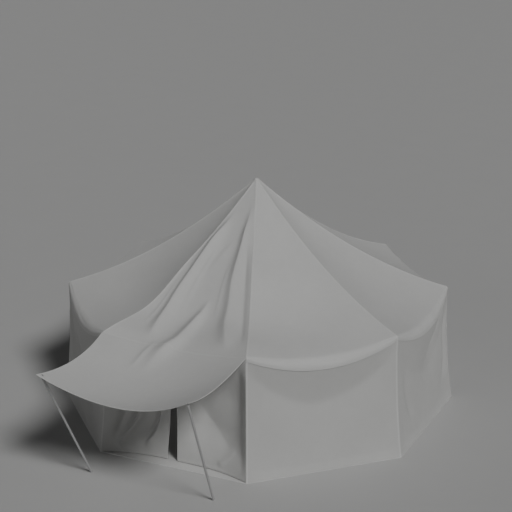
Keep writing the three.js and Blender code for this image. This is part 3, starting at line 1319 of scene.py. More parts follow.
def between_points(values: Array, reach: Array, places: Array) -> Array:
    """Fills in vectors between the points of a line.

    Args:
        values: The vectors at its points.
        reach: How far along the line the points are.
        places: How far along it the wanted places are.

    Returns:
        The vectors there.
    """
    return np.stack([np.interp(places, reach, values[:, axis]) for axis in range(3)], axis=-1)


@dataclass
class Stitches:
    """Rows of lock stitches, each a small bar of thread that stands a little proud."""

    pitch: float = 0.012
    length: float = 0.0085
    width: float = 0.0022
    rise: float = 0.0012
    sunk: float = 0.0005
    top_share: float = 0.55  # how wide a bar's top is, as a share of its foot
    pieces: Pieces = field(default_factory=Pieces)

    def run(self, line: Array, normals: Array) -> None:
        """Sews a row along a line.

        Args:
            line: The points of the line, on the cloth.
            normals: The cloth's normals there.
        """
        reach = np.concatenate([[0.0], np.cumsum(np.linalg.norm(np.diff(line, axis=0), axis=-1))])
        places = np.arange(self.pitch, reach[-1] - self.pitch / 2, self.pitch)
        if not len(places):
            return
        at = between_points(line, reach, places)
        up = unit(between_points(normals, reach, places))
        way = unit(between_points(line, reach, places + self.pitch / 2) - at)
        side_on = np.cross(up, way)
        self.add_bars(at, way * self.length / 2, side_on * self.width / 2, up)

    def add_bars(self, at: Array, half_length: Array, half_width: Array, up: Array) -> None:
        """Adds bars with eight corners, narrower at the top than at the cloth.

        Args:
            at: Their middles, on the cloth.
            half_length: Vectors to their ends.
            half_width: Vectors to their sides.
            up: The cloth's normals.
        """
        corners = []
        for lift, share in ((-self.sunk, 1.0), (self.rise, self.top_share)):
            for along, aside in ((-1, -1), (1, -1), (1, 1), (-1, 1)):
                end = half_length * along * mix(1.0, share, 0.4)
                corners.append(at + end + half_width * aside * share + up * lift)
        points = np.stack(corners, axis=1)
        bar = np.array([[3, 2, 1, 0], [4, 5, 6, 7], [0, 1, 5, 4], [1, 2, 6, 5], [2, 3, 7, 6], [3, 0, 4, 7]])
        faces = (bar[None] + len(corners) * np.arange(len(at))[:, None, None]).reshape(-1, 4)
        self.pieces.add(points, faces, points.reshape(-1, 3)[:, :2])

    def sew(self, grid: Array, line: tuple[int | slice, int | slice]) -> None:
        """Sews a row along a line of a grid.

        Args:
            grid: The grid of the cloth's points.
            line: The rows and columns of the line's points.
        """
        self.run(grid[line], grid_normals(grid)[line])

    def sew_tape(self, tapes: Pieces, tape: Array) -> None:
        """Lays a tape and sews it on with a row along both of its sides.

        Args:
            tapes: Takes the tape.
            tape: The grid of its outer face.
        """
        tapes.add_sheet(tape, TAPE_THICKNESS)
        for place in (2, -3):
            self.sew(tape, np.s_[:, place])


@dataclass(frozen=True)
class Drape:
    """The bowl of slack cloth that hangs in under a sagging eave."""

    middle: float  # the place across of the bowl's lowest point
    low: float  # the height of the bowl's lower edge there, as a share of the wall's
    high: float  # the same at the corners
    depth: float
    softness: float = 0.16  # of the bend at the bowl's lowest line
    edge_power: float = 1.7
    foot_power: float = 1.6
    end_power: float = 0.8

    def pull(self, w: Array, v: Array) -> Array:
        """How far the cloth hangs in from the plain wall.

        Args:
            w: Heights as a share of the wall's.
            v: Places across.

        Returns:
            The distances.
        """
        side = np.where(v > self.middle, 1.0 - self.middle, 1.0 + self.middle)
        aside = np.clip(np.abs(v - self.middle) / side, 0.0, 1.0)
        edge = mix(self.low, self.high, aside**self.edge_power)
        from_top = (1.0 - w) / (1.0 - edge)
        from_foot = (w / edge) ** self.foot_power
        share = (from_top + from_foot - np.hypot(from_top - from_foot, self.softness)) / 2.0
        return self.depth * np.maximum(share, 0.0) * (1.0 - aside**2) ** self.end_power


STREAKS = (
    Fold(
        ((0.99, 0.84), (0.93, 0.62), (0.83, 0.4), (0.74, 0.18), (0.64, -0.1)),
        lift=-0.065, left=0.07, right=0.3, grow=0.25, fade=0.4, top_width=0.5,
    ),
    Fold(
        ((0.9, 0.93), (0.77, 0.9), (0.62, 0.85), (0.44, 0.86), (0.3, 0.78), (0.2, 0.55)),
        lift=-0.045, left=0.06, right=0.12, grow=0.3, fade=0.3, top_width=0.6,
    ),
    Fold(
        ((0.8, -0.7), (0.55, -0.7), (0.35, -0.6), (0.15, -0.45)),
        lift=-0.028, left=0.1, right=0.2, grow=0.4, fade=0.4, top_width=0.6, sharpness=0.0,
    ),
)
LONG_DIAGONAL = (
    Fold(
        (
            (0.97, -0.9), (0.8, -0.84), (0.65, -0.76), (0.4, -0.5), (0.24, -0.15), (0.1, 0.3),
            (0.03, 0.8),
        ),
        lift=0.042, left=0.1, right=0.3, grow=0.2, fade=0.3, top_width=0.35, sharpness=0.3,
    ),
    Fold(
        ((0.9, -0.55), (0.68, -0.36), (0.43, -0.03), (0.24, 0.4), (0.12, 0.88)),
        lift=-0.02, left=0.12, right=0.16, grow=0.3, fade=0.3, top_width=0.5,
    ),
)
SHORT_DIAGONAL = (
    Fold(
        ((0.95, -0.93), (0.72, -0.74), (0.51, -0.53), (0.33, -0.3), (0.2, -0.12)),
        lift=0.028, left=0.2, right=0.08, grow=0.25, fade=0.4, top_width=0.4,
    ),
    Fold(
        ((0.62, -0.78), (0.45, -0.79), (0.28, -0.81)),
        lift=-0.012, left=0.1, right=0.08, grow=0.4, fade=0.4, top_width=0.8,
    ),
    Fold(
        ((0.9, 0.89), (0.58, 0.86), (0.37, 0.81), (0.06, 0.85)),
        lift=-0.02, left=0.1, right=0.07, grow=0.25, fade=0.3, top_width=0.6,
    ),
)


@dataclass(frozen=True)
class WallCut:
    """How one wall hangs: its drape and its folds."""

    drape: Drape
    folds: tuple[Fold, ...] = ()


WALL_CUTS = {  # by side, counted from the front
    1: WallCut(Drape(middle=-0.09, low=0.64, high=0.9, depth=0.11)),
    2: WallCut(Drape(middle=0.1, low=0.55, high=0.88, depth=0.08), STREAKS),
    3: WallCut(Drape(middle=-0.1, low=0.56, high=0.86, depth=0.09)),
    4: WallCut(Drape(middle=0.15, low=0.55, high=0.86, depth=0.07), SHORT_DIAGONAL),
    5: WallCut(Drape(middle=-0.04, low=0.56, high=0.9, depth=0.085)),
    6: WallCut(Drape(middle=0.08, low=0.55, high=0.88, depth=0.08), STREAKS),
    7: WallCut(Drape(middle=0.2, low=0.5, high=0.84, depth=0.06), LONG_DIAGONAL),
}


@dataclass(frozen=True)
class DoorFlap:
    """One of the two flaps that close the front."""

    name: str
    corner: float  # -1 for the front's left corner and 1 for its right one
    return_share: float  # how wide it turns in from its corner, as a share of half the front
    split_shift: float  # how far its free edge's top stands to the right of the split
    free_foot_x: float  # where its free edge meets the floor
    folds: tuple[Fold, ...]


DOOR_SPLIT = -0.05  # the place across the front where the two flaps meet
FLAPS = (
    DoorFlap(
        name="door_flap_left",
        corner=-1.0,
        return_share=0.5,
        split_shift=-0.005,
        free_foot_x=-0.186,
        folds=(
            Fold(
                ((0.75, -0.42), (0.5, -0.45), (0.3, -0.54), (0.15, -0.68), (0.04, -0.8)),
                lift=0.075, left=0.045, right=0.1, grow=0.3, fade=0.15,
            ),
            Fold(
                ((0.72, -0.47), (0.5, -0.5), (0.3, -0.6), (0.15, -0.74)),
                lift=-0.045, left=0.05, right=0.035, grow=0.3, fade=0.2,
            ),
            Fold(
                ((0.62, -0.12), (0.4, -0.17), (0.22, -0.25), (0.07, -0.42)),
                lift=0.065, left=0.045, right=0.09, grow=0.35, fade=0.2,
            ),
            Fold(
                ((0.6, -0.17), (0.4, -0.22), (0.22, -0.31), (0.09, -0.47)),
                lift=-0.04, left=0.05, right=0.035, grow=0.35, fade=0.2,
            ),
            Fold(
                ((0.9, -0.72), (0.5, -0.72), (0.3, -0.76), (0.1, -0.84)),
                lift=-0.06, left=0.07, right=0.08, grow=0.3, fade=0.2,
            ),
        ),
    ),
    DoorFlap(
        name="door_flap_right",
        corner=1.0,
        return_share=0.14,
        split_shift=0.005,
        free_foot_x=-0.01,
        folds=(
            Fold(
                ((0.8, 0.12), (0.49, 0.28), (0.36, 0.44), (0.23, 0.62), (0.12, 0.87)),
                lift=-0.05, left=0.3, right=0.26, grow=0.3, fade=0.25, top_width=0.8, sharpness=0.7,
            ),
            Fold(
                ((0.2, 0.8), (0.13, 0.68), (0.04, 0.52)),
                lift=0.02, left=0.06, right=0.05, grow=0.3, fade=0.2,
            ),
        ),
    ),
)


@dataclass
class Skirt:
    """The seven walls and the two door flaps, which hang from the roof down to the ground sheet."""

    plan: TentPlan
    front: FrontCloth
    finishes: Finishes
    rows: int = 84
    columns: int = 76
    flap_columns: int = 64
    wall_length: float = 1.9
    inset: float = 0.0045
    corner_rounding: float = 0.06
    edge_marks: tuple[float, ...] = (0.0, 0.006, 0.012, 0.018, 0.024, 0.03)
    held_aside: float = 0.1  # the share of a wall beside each corner where the cloth lies even
    held_end: float = 0.05  # the same at its top and foot
    foot_flare: float = 0.016
    flare_height: float = 0.09
    flare_fade: float = 0.5
    flare_aside: float = 0.2
    hem_width: float = 0.04
    hem_rise: float = 0.0015
    tape_half_width: float = 0.02
    flap_set_back: float = 0.208
    set_back_power: float = 2.5
    flap_recess: float = 0.13
    recess_from_top: float = 0.4
    recess_from_foot: float = 0.35
    recess_from_split: float = 0.45
    split_recess_share: float = 0.25
    flap_drop: float = 0.006
    flap_clearance: float = 0.01  # how far the flaps end above the ground sheet
    clearance_aside: float = 0.05
    flap_held_aside: float = 0.07
    flap_held_top: float = 0.1
    flap_held_foot: float = 0.04

    @property
    def chart(self) -> Chart:
        """Lays a wall out flat.

        Returns:
            The chart.
        """
        return Chart(
            top_row=1.0,
            foot_row=0.0,
            length=self.wall_length,
            top_half_width=self.plan.eave_half_width,
            foot_half_width=self.plan.foot_half_width,
        )

    def heights(self) -> Array:
        """Spreads the rows of a wall, with some at the hem.

        Returns:
            Their heights as a share of the wall's, from its top to its foot, as a column.
        """
        hem_top = self.hem_width / self.wall_length
        fall = HEM_FALL / self.wall_length
        hem = (hem_top + fall, hem_top, hem_top - fall, hem_top / 2, fall, 0.0)
        plain = np.linspace(1.0, hem_top + 3 * fall, self.rows - len(hem))
        return column([*plain, *hem])

    def flare(self, w: Array) -> Array:
        """How far the cloth stands in above its foot, so that the foot itself turns out."""
        fade = 1.0 - ease((w - self.flare_height) / self.flare_fade)
        return self.foot_flare * ease(w / self.flare_height) * fade

    def round_corners(self, side: int, points: Array, w: Array, v: Array) -> Array:
        """Rounds a wall off towards its corners.

        Args:
            side: The side.
            points: The wall's points.
            w: Their heights as a share of the wall's.
            v: Their places across.

        Returns:
            The moved points.
        """
        half = self.plan.wall_half_width(w)
        reach = self.corner_rounding * math.tan(self.plan.half_turn)
        near = np.maximum(0.0, 1.0 - (1.0 - np.abs(v)) * half / reach) ** 2
        back = near * self.corner_rounding * (1.0 / math.cos(self.plan.half_turn) - 1.0)
        out = self.plan.outward(side) * math.cos(self.plan.half_turn)
        along = self.plan.outward(side + self.plan.sides / 4) * math.sin(self.plan.half_turn)
        return points - back[..., None] * (out + along * np.sign(v)[..., None])

    def wall_points(self, side: int, w: Array, v: Array) -> Array:
        """Points of a wall.

        Args:
            side: The side.
            w: Heights as a share of the wall's.
            v: Places across.

        Returns:
            The points.
        """
        w, v = np.broadcast_arrays(w, v)
        cut = WALL_CUTS[side]
        points = self.plan.hanging(self.plan.wall_top(side, v), self.plan.wall_foot(side, v), w)
        points[..., :2] *= 1.0 - self.inset / self.plan.eave_radius
        from_corner = 1.0 - np.abs(v)
        held = ease(from_corner / self.held_aside)
        held = held * ease((1.0 - w) / self.held_end) * ease(w / self.held_end)
        lift = self.chart.lift(cut.folds, w, v) * held - cut.drape.pull(w, v)
        lift = lift - self.flare(w) * ease(from_corner / self.flare_aside)
        lift = lift + hem_rise(w * self.wall_length, self.hem_width, self.hem_rise)
        points = points + self.plan.outward(side) * lift[..., None]
        return self.round_corners(side, points, w, v)

    def flap_points(self, flap: DoorFlap, w: Array, v: Array) -> Array:
        """Points of a door flap, whose foot is drawn back and whose free edge runs straight.

        Args:
            flap: The flap.
            w: Heights as a share of the flap's.
            v: Places across the front.

        Returns:
            The points.
        """
        w, v = np.broadcast_arrays(w, v)
        top = self.front.roof(np.ones_like(v), v)
        top[..., 2] -= self.flap_drop
        foot = self.plan.wall_foot(FRONT, v)
        foot[..., 1] += self.flap_set_back * (1.0 - np.abs(v) ** self.set_back_power)
        from_corner = 1.0 - np.abs(v)
        foot[..., 2] += self.flap_clearance * ease(from_corner / self.clearance_aside)
        points = self.plan.hanging(top, foot, w)
        edge = np.full_like(v, flap.corner)
        seam_top, seam_foot = self.plan.wall_top(FRONT, edge), self.plan.wall_foot(FRONT, edge)
        seam_x = self.plan.hanging(seam_top, seam_foot, w)[..., 0]
        split_top = self.plan.wall_top(FRONT, np.full(1, DOOR_SPLIT))[0, 0]
        free_x = mix(flap.free_foot_x, split_top + flap.split_shift, w)
        points[..., 0] = mix(seam_x, free_x, (v - flap.corner) / (DOOR_SPLIT - flap.corner))
        held = ease(from_corner / self.flap_held_aside) * ease((1.0 - w) / self.flap_held_top)
        recess = self.flap_recess * ease(from_corner / flap.return_share)
        from_split = ease(np.abs(v - DOOR_SPLIT) / self.recess_from_split)
        recess = recess * mix(self.split_recess_share, 1.0, from_split)
        recess = recess * ease((1.0 - w) / self.recess_from_top) * ease(w / self.recess_from_foot)
        lift = self.chart.lift(flap.folds, w, v) * held * ease(w / self.flap_held_foot) - recess
        points[..., 1] -= lift + hem_rise(w * self.wall_length, self.hem_width, self.hem_rise)
        return self.round_corners(FRONT, points, w, v)

    def panel_points(self, side: int, w: Array, v: Array) -> Array:
        """Gives points of a wall, or of the flap that hangs on that half of the front.

        Args:
            side: The side.
            w: Heights as a share of the panel's.
            v: Places across the side.

        Returns:
            The points.
        """
        if side != FRONT:
            return self.wall_points(side, w, v)
        return self.flap_points(FLAPS[0 if v.mean() < 0.0 else 1], w, v)

    def corner_tape(self, corner: int) -> Array:
        """Lays out the tape over one upright corner.

        Args:
            corner: The corner.

        Returns:
            The grid of its outer face.
        """
        left_side, right_side = corner, (corner + 1) % self.plan.sides
        w = self.heights()
        half = self.plan.wall_half_width(w)
        return lapped_tape(
            lambda inset: self.panel_points(left_side, w, 1.0 - inset / half),
            lambda inset: self.panel_points(right_side, w, inset / half - 1.0),
            self.tape_half_width,
        )

    def build(self, tapes: Pieces, stitches: Stitches) -> None:
        """Builds the walls and flaps, and adds the tapes over the corners.

        Args:
            tapes: Takes the tapes.
            stitches: Takes the rows of stitches.
        """
        w = self.heights()
        half = self.plan.wall_half_width(w)
        for side in range(1, self.plan.sides):
            v = spread_columns(half, self.columns, self.edge_marks)
            name = SIDE_NAMES[side]
            self.panel(f"wall_{name}", f"roof_{name}_canvas", self.wall_points(side, w, v), stitches)
        for flap in FLAPS:
            v = np.linspace(*sorted((flap.corner, DOOR_SPLIT)), self.flap_columns)
            self.panel(flap.name, "roof_front_canvas", self.flap_points(flap, w, v[None, :]), stitches)
        for corner in range(self.plan.sides):
            stitches.sew_tape(tapes, self.corner_tape(corner))

    def panel(self, node: str, hangs_from: str, grid: Array, stitches: Stitches) -> None:
        """Makes one panel, with the row of stitches over its foot hem.

        Args:
            node: The plain solid that it stands for.
            hangs_from: The name of the gore over it.
            grid: Its grid of points.
            stitches: Takes the stitches.
        """
        # The walls and flaps wear the darker canvas with painted shade.
        self.finishes.cloth(node, grid, "hung", (hangs_from, "ground_sheet"), self.finishes.wall_canvas)
        hem_row = -4  # just under the hem's upper edge
        stitches.sew(grid, np.s_[hem_row, 1:-1])


@dataclass
class Awning:
    """The awning over the entrance: a hemmed sheet on a bolt rope, with a patch over each pole."""

    front: FrontCloth
    finishes: Finishes
    rows: int = 110
    columns: int = 120
    half_width: float = 1.22
    hem_width: float = 0.03
    hem_rise: float = 0.0012
    rope_radius: float = 0.006
    rope_sides: int = 10
    edge_marks: tuple[float, ...] = (0.0, 0.015, 0.03, 0.034, 0.038)
    patch_radius: float = 0.17
    patch_rise: float = 0.0012
    patch_corner_angle: float = 0.06
    seam_half_width: float = 0.018
    seam_reach: float = 0.985  # how far across the eave the seam runs, as a share
    seam_rise: float = 0.0011
    seam_edge_rise: float = 0.0003

    def grid(self) -> Array:
        """Lays out the awning with its hems raised.

        Returns:
            The grid, whose rows run from the eave out to the front edge.
        """
        hem = self.hem_width / self.front.awning_length
        fall = HEM_FALL / self.front.awning_length
        plain = np.linspace(0.0, 1.0 - hem - 2 * fall, self.rows)
        out = column([*plain, 1.0 - hem - fall, 1.0 - hem, 1.0 - hem / 2, 1.0])
        v = spread_columns(np.full_like(out, self.half_width), self.columns, self.edge_marks)
        points = self.front.awning(out, v)
        edge = np.minimum((1.0 - np.abs(v)) * self.half_width, (1.0 - out) * self.front.awning_length)
        rise = hem_rise(edge, self.hem_width, self.hem_rise)
        return points + grid_normals(points) * rise[..., None]

    def rope(self, grid: Array) -> Array:
        """The line of the bolt rope, round the three free edges."""
        return np.concatenate([grid[2:, 0], grid[-1, 1:-1], grid[:1:-1, -1]])

    def eave_seam(self) -> Array:
        """Lays out the lapped seam along the eave, between the front gore and the awning.

        Returns:
            The grid of its outer face.
        """
        shares = np.array([1.0, 0.94, 0.6, 0.3])
        v = np.linspace(-self.seam_reach, self.seam_reach, self.columns)[None, :]
        above = self.front.roof(column(1.0 - self.seam_half_width * shares / self.front.slope_length), v)
        below = self.front.awning(column(self.seam_half_width * shares / self.front.awning_length), v)
        eave = self.front.awning(np.zeros((1, 1)), v)
        grid = np.concatenate([above, eave, below[::-1]])
        rise = np.full(len(grid), self.seam_rise)
        rise[[0, -1]] = self.seam_edge_rise
        return grid + grid_normals(grid) * rise[:, None, None]

    def corner_patch(self, end: float) -> Array:
        """The grid of a rounded patch that strengthens an outer corner.

        Args:
            end: -1 for the left corner and 1 for the right.

        Returns:
            The grid, whose rows run out from the corner.
        """
        reach = column([0.02, *np.linspace(0.03, self.patch_radius, 12), self.patch_radius + 0.002])
        first_angle = self.patch_corner_angle
        angle = np.linspace(first_angle, math.pi / 2 - first_angle, 22)[None, :]
        if end > 0:
            angle = angle[:, ::-1]
        inwards, back = reach * np.sin(angle), reach * np.cos(angle)
        out = 1.0 - back / self.front.awning_length
        points = self.front.awning(out, end * (1.0 - inwards / self.half_width))
        rise = np.full(len(reach), self.hem_rise + self.patch_rise)
        rise[-1] = self.hem_rise / 4
        normals = grid_normals(points)
        return points + normals * np.sign(normals[..., 2:]) * rise[:, None, None]

    def build(self, tapes: Pieces, stitches: Stitches) -> None:
        """Builds the awning, and adds its rope, seam and corner patches.

        Args:
            tapes: Takes the seam and the patches.
            stitches: Takes the rows of stitches.
        """
        grid = self.grid()
        canvas = self.finishes.cloth("awning", grid, "stretched", ("awning_pole_left", "awning_pole_right"))
        log.info("%s hangs from the eave of the front gore", canvas.name)
        rope = Pieces()
        rope.add(*tube(self.rope(grid), self.rope_radius, self.rope_sides))
        self.finishes.dress(rope.build("awning_bolt_rope"), self.finishes.tape, Slot.CANVAS)
        seam = self.eave_seam()
        tapes.add_sheet(seam, TAPE_THICKNESS)
        for row in (2, -3):
            stitches.sew(seam, np.s_[row, :])
        for line in (np.s_[2:-2, 2], np.s_[2:-2, -3], np.s_[-3, 2:-2]):
            stitches.sew(grid, line)
        for end in (-1.0, 1.0):
            patch = self.corner_patch(end)
            tapes.add_sheet(patch, TAPE_THICKNESS)
            stitches.sew(patch, np.s_[-3, :])


@dataclass
class PoleHead:
    """The spike on top of an awning pole, which comes up through the canvas with a washer round it."""

    finishes: Finishes
    head: tuple[float, float]
    shank: float = 0.03
    tip: float = 0.0245
    around: int = 24

    def build(self, name: str, grid: Array) -> None:
        """Builds the spike and its washer on the canvas.

        Args:
            name: The piece's name.
            grid: The awning's points, on which it stands.
        """
        points = grid.reshape(-1, 3)
        nearest = np.hypot(points[:, 0] - self.head[0], points[:, 1] - self.head[1]).argmin()
        foot = points[nearest]
        profile = np.array([  # radius and height of each ring, from the tip down
            (0.003, 0.024), (0.0052, 0.022), (0.0062, 0.019), (0.0062, 0.0045), (0.008, 0.0042),
            (0.0165, 0.0036), (0.0185, 0.002), (0.0185, -0.005), (0.0165, -0.006), (0.007, -0.006),
            (0.007, -self.shank),
        ])
        rings = foot + profile[:, :1, None] * circle(self.around)
        rings[..., 2] = foot[2] + profile[:, 1:]
        top = foot + (0.0, 0.0, self.tip)
        pieces = Pieces()
        pieces.add(*turned(rings, top, foot - (0.0, 0.0, self.shank)))
        self.finishes.dress(pieces.build(name), self.finishes.fitting, Slot.POLE)


@dataclass
class PeakCap:
    """The rounded cap over the peak, which follows the eight gores at its rim."""

    plan: TentPlan
    finishes: Finishes
    radius: float = 0.046
    thickness: float = 0.003
    binding_radius: float = 0.0026
    binding_sides: int = 8
    top: float = 3.8535
    clearance: float = 0.002
    dome_power: float = 0.62
    around: int = 96
    rings: int = 14

    def height(self, angle: Array) -> Array:
        """Works out how high the rim lies on the gores.

        Args:
            angle: Angles from the front.

        Returns:
            The heights.
        """
        turn = 2 * self.plan.half_turn
        off_middle = (angle + turn / 2) % turn - turn / 2
        run = self.radius * np.cos(off_middle) / (self.plan.eave_radius * self.plan.apothem_share)
        return self.plan.ridge_height(1, run) + self.clearance

    def shell(self, inset: float) -> Array:
        """Draws the cap's outer or inner face.

        Args:
            inset: How far it lies inside the outer face.

        Returns:
            Its rings, from its top down to its rim.
        """
        angle = np.linspace(0.0, 2 * math.pi, self.around, endpoint=False)[None, :]
        share = column(np.sin(np.linspace(0.04, 1.0, self.rings) * math.pi / 2))
        reach = share * (self.radius - inset)
        dome = (1.0 - share**2) ** self.dome_power
        height = mix(self.height(angle), self.top - inset, dome)
        return np.stack(np.broadcast_arrays(reach * np.sin(angle), -reach * np.cos(angle), height), axis=-1)

    def build(self) -> None:
        """Builds the cap and the binding round its rim."""
        outer, inner = self.shell(0.0), self.shell(self.thickness)
        top = np.array([0.0, 0.0, self.top + 0.0001])
        pieces, binding = Pieces(), Pieces()
        pieces.add(*turned(np.concatenate([outer, inner[::-1]]), top, top - (0.0, 0.0, self.thickness)))
        rim = np.concatenate([outer[-1], outer[-1, :2]])
        binding.add(*tube(rim, self.binding_radius, self.binding_sides))
        self.finishes.dress(binding.build("peak_cap_binding"), self.finishes.tape, Slot.CANVAS)
        cap = self.finishes.dress(pieces.build("peak_cap_canvas"), self.finishes.tape, Slot.CANVAS)
        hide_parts("peak_cap")
        area = grid_area(np.concatenate([outer, outer[:, :1]], axis=1))


@dataclass
class GroundSheet:
    """The floor of the tent: an eight-sided sheet with a turned hem."""

    plan: TentPlan
    finishes: Finishes
    hem_width: float = 0.04
    hem_rise: float = 0.0008
    hem_fall: float = 0.003
    edge_round: float = 0.002
    middle_radius: float = 0.05
    flat_rings: int = 24
    per_side: int = 16

    def ring(self, radius: float, height: float) -> Array:
        """Draws an eight-sided ring of points.

        Args:
            radius: How far out its corners are.
            height: How high it lies.

        Returns:
            The points.
        """
        corners = np.stack([self.plan.outward(side + 0.5) for side in range(self.plan.sides)]) * radius
        share = np.linspace(0.0, 1.0, self.per_side, endpoint=False)[None, :, None]
        ring = mix(corners[:, None], np.roll(corners, -1, axis=0)[:, None], share).reshape(-1, 3)
        ring[:, 2] = height
        return ring

    def build(self) -> None:
        """Builds the sheet."""
        radius, top = self.plan.foot_radius, self.plan.sheet_top
        inner = radius - self.hem_width
        flat_radii = np.linspace(self.middle_radius, inner - 0.01, self.flat_rings)
        rings = [self.ring(reach, top - self.hem_rise) for reach in flat_radii]
        rings += [self.ring(inner, top - self.hem_rise), self.ring(inner + self.hem_fall, top)]
        rings += [self.ring(radius - self.edge_round, top), self.ring(radius, top - self.edge_round)]
        rings += [self.ring(radius, self.edge_round), self.ring(radius - self.edge_round, 0.0)]
        rings += [self.ring(reach, 0.0) for reach in flat_radii[::-1]]
        pieces = Pieces()
        centre = np.array([0.0, 0.0, top - self.hem_rise])
        pieces.add(*turned(np.stack(rings), centre, np.zeros(3)))
        sheet = pieces.build("ground_sheet_cloth")
        self.finishes.dress(sheet, self.finishes.sheet, Slot.GROUND_SHEET)
        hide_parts("ground_sheet")


# The studio


@dataclass(frozen=True)
class SoftSun:
    """A wide soft light. Its angles are in degrees."""

    name: str
    azimuth: float
    elevation: float
    strength: float
    softness: float


SOFT_SUNS = (
    SoftSun("key", azimuth=54.0, elevation=42.0, strength=2.0, softness=16.0),
    SoftSun("fill", azimuth=-28.0, elevation=6.0, strength=0.3, softness=40.0),
    SoftSun("back_fill", azimuth=234.0, elevation=6.0, strength=0.3, softness=25.0),
)


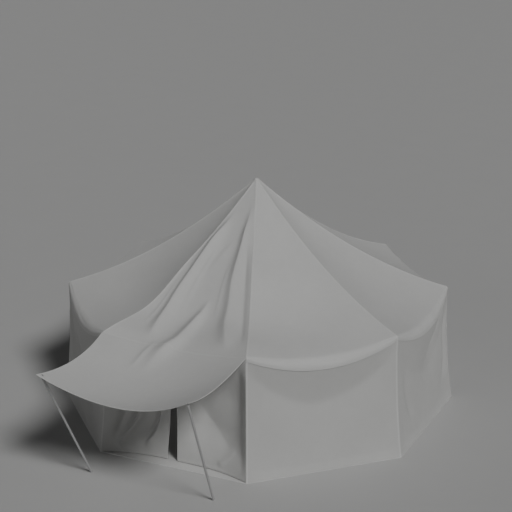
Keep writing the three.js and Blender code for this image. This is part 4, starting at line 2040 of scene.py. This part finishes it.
@dataclass(frozen=True)
class Studio:
    """A pale floor, a soft key light with two weak fills, and the photograph's camera."""

    azimuth: float = 25.4496
    elevation: float = 18.5456
    roll: float = -0.2428
    distance: float = 23.33
    target_height: float = 2.4998
    target_aside: float = -0.0146
    lens: float = 98.02
    sensor: float = 36.0
    lamp_place: tuple[float, float, float] = (0.0, -1.2, 1.4)
    lamp_power: float = 4.2
    lamp_radius: float = 0.6
    sky_colour: Colour = (0.95, 0.97, 1.0)
    sky_strength: float = 0.025
    floor_radius: float = 160.0
    floor_thickness: float = 0.05
    backdrop_share: float = 0.98  # its radius as a share of the floor's
    around: int = 64  # points round the floor and the backdrop

    def direction(self, azimuth: float, elevation: float) -> Vector:
        """Points at a place in the sky.

        Args:
            azimuth: Its angle round the tent in degrees, from 0 in front of the entrance.
            elevation: Its angle over the ground.

        Returns:
            The unit vector towards it.
        """
        turn, rise = math.radians(azimuth), math.radians(elevation)
        return Vector((math.sin(turn) * math.cos(rise), -math.cos(turn) * math.cos(rise), math.sin(rise)))

    def put(self, data: bpy.types.ID) -> bpy.types.Object:
        """Puts a camera or a light into the scene.

        Args:
            data: The camera or light, whose name the object takes.

        Returns:
            The object.
        """
        item = bpy.data.objects.new(data.name, data)
        bpy.context.scene.collection.objects.link(item)
        item.rotation_mode = "QUATERNION"
        return item

    def camera(self) -> None:
        """Sets up the camera where the photograph was taken from."""
        data = bpy.data.cameras.new("photo_camera")
        data.lens = self.lens
        data.sensor_width = self.sensor
        data.clip_end = 2 * self.floor_radius
        camera = self.put(data)
        back = self.direction(self.azimuth, self.elevation)
        right = self.direction(self.azimuth + 90.0, 0.0)
        target = Vector((0.0, 0.0, self.target_height)) + right * self.target_aside
        camera.location = target + back * self.distance
        turn = Quaternion(back, math.radians(self.roll))
        camera.rotation_quaternion = turn @ (-back).to_track_quat("-Z", "Y")
        bpy.context.scene.camera = camera

    def light(self, sun: SoftSun) -> None:
        """Adds one of the soft suns.

        Args:
            sun: The sun.
        """
        data = bpy.data.lights.new(sun.name, "SUN")
        data.energy = sun.strength
        data.angle = math.radians(sun.softness)
        way = self.direction(sun.azimuth, sun.elevation)
        self.put(data).rotation_quaternion = way.to_track_quat("Z", "Y")

    def lamp(self) -> None:
        """Hangs a weak wide lamp in the tent, so that the inside can be read through the split."""
        data = bpy.data.lights.new("lamp", "POINT")
        data.energy = self.lamp_power
        data.shadow_soft_size = self.lamp_radius
        self.put(data).location = self.lamp_place

    def sky(self) -> None:
        """Gives the surroundings a weak, even light of a pale colour."""
        world = bpy.data.worlds.new("studio")
        world.use_nodes = True
        background = world.node_tree.nodes["Background"]
        background.inputs["Color"].default_value = (*self.sky_colour, 1.0)
        background.inputs["Strength"].default_value = self.sky_strength
        bpy.context.scene.world = world

    def floor(self) -> None:
        """Lays the pale floor."""
        radii = np.geomspace(6.0, self.floor_radius, 8)
        top = radii[:, None, None] * circle(self.around)
        depth = np.array([0.0, 0.0, self.floor_thickness])
        rings = np.concatenate([top, top[::-1] - depth])
        pieces = Pieces()
        pieces.add(*turned(rings, np.zeros(3), -depth))
        floor = pieces.build("studio_floor")
        floor.data.materials.append(FLOOR_FINISH.material())

    def backdrop(self) -> None:
        """Puts an even pale dome round the floor. Only the camera sees it, so the light stays as it is."""
        up = np.array([0.0, 0.0, 1.0])
        elevation = np.radians(np.linspace(84.0, 0.0, 15))[:, None, None]
        radius = self.floor_radius * self.backdrop_share
        rings = radius * (np.cos(elevation) * circle(self.around) + np.sin(elevation) * up)
        pieces = Pieces()
        pieces.add(*turned(rings, radius * up, -up))
        dome = pieces.build("studio_backdrop")
        dome.data.materials.append(BACKDROP_FINISH.material())
        for ray in ("diffuse", "glossy", "transmission", "volume_scatter", "shadow"):
            setattr(dome, f"visible_{ray}", False)

    def build(self) -> None:
        """Sets the scene."""
        self.camera()
        for sun in SOFT_SUNS:
            self.light(sun)
        self.lamp()
        self.sky()
        self.floor()
        self.backdrop()


def paint_poles(finishes: Finishes) -> None:
    """Gives the poles of the frame their painted finish.

    Args:
        finishes: The tent's materials.
    """
    for name, node in frame["nodes"].items():
        if "pole" not in name:
            continue
        node.data.materials.clear()
        node.data.materials.append(finishes.pole)
        log.info("%s: painted", name)


def main() -> None:
    """Builds the tent's pieces and the studio."""
    logging.basicConfig(level=logging.INFO, format="%(name)s: %(message)s")
    plan = TentPlan()
    front = FrontCloth(plan)
    finishes = Finishes()
    Studio().build()
    roof_tapes, wall_tapes = Pieces(), Pieces()
    roof_stitches, wall_stitches, awning_stitches = Stitches(), Stitches(), Stitches()
    Roof(plan, front, finishes).build(roof_tapes, roof_stitches)
    Skirt(plan, front, finishes).build(wall_tapes, wall_stitches)
    awning = Awning(front, finishes)
    awning.build(roof_tapes, awning_stitches)
    for side, head in POLE_HEADS.items():
        PoleHead(finishes, head).build(f"awning_pole_{side}_spike", awning.grid())
    PeakCap(plan, finishes).build()
    GroundSheet(plan, finishes).build()
    finishes.dress(roof_tapes.build("roof_tapes"), finishes.tape, Slot.CANVAS)
    finishes.dress(wall_tapes.build("wall_corner_tapes"), finishes.tape, Slot.CANVAS)
    for name, stitches in (("roof", roof_stitches), ("wall", wall_stitches), ("awning", awning_stitches)):
        finishes.dress(stitches.pieces.build(f"{name}_stitching"), finishes.thread, Slot.CANVAS)
    paint_poles(finishes)


if __name__ == "__main__":
    main()
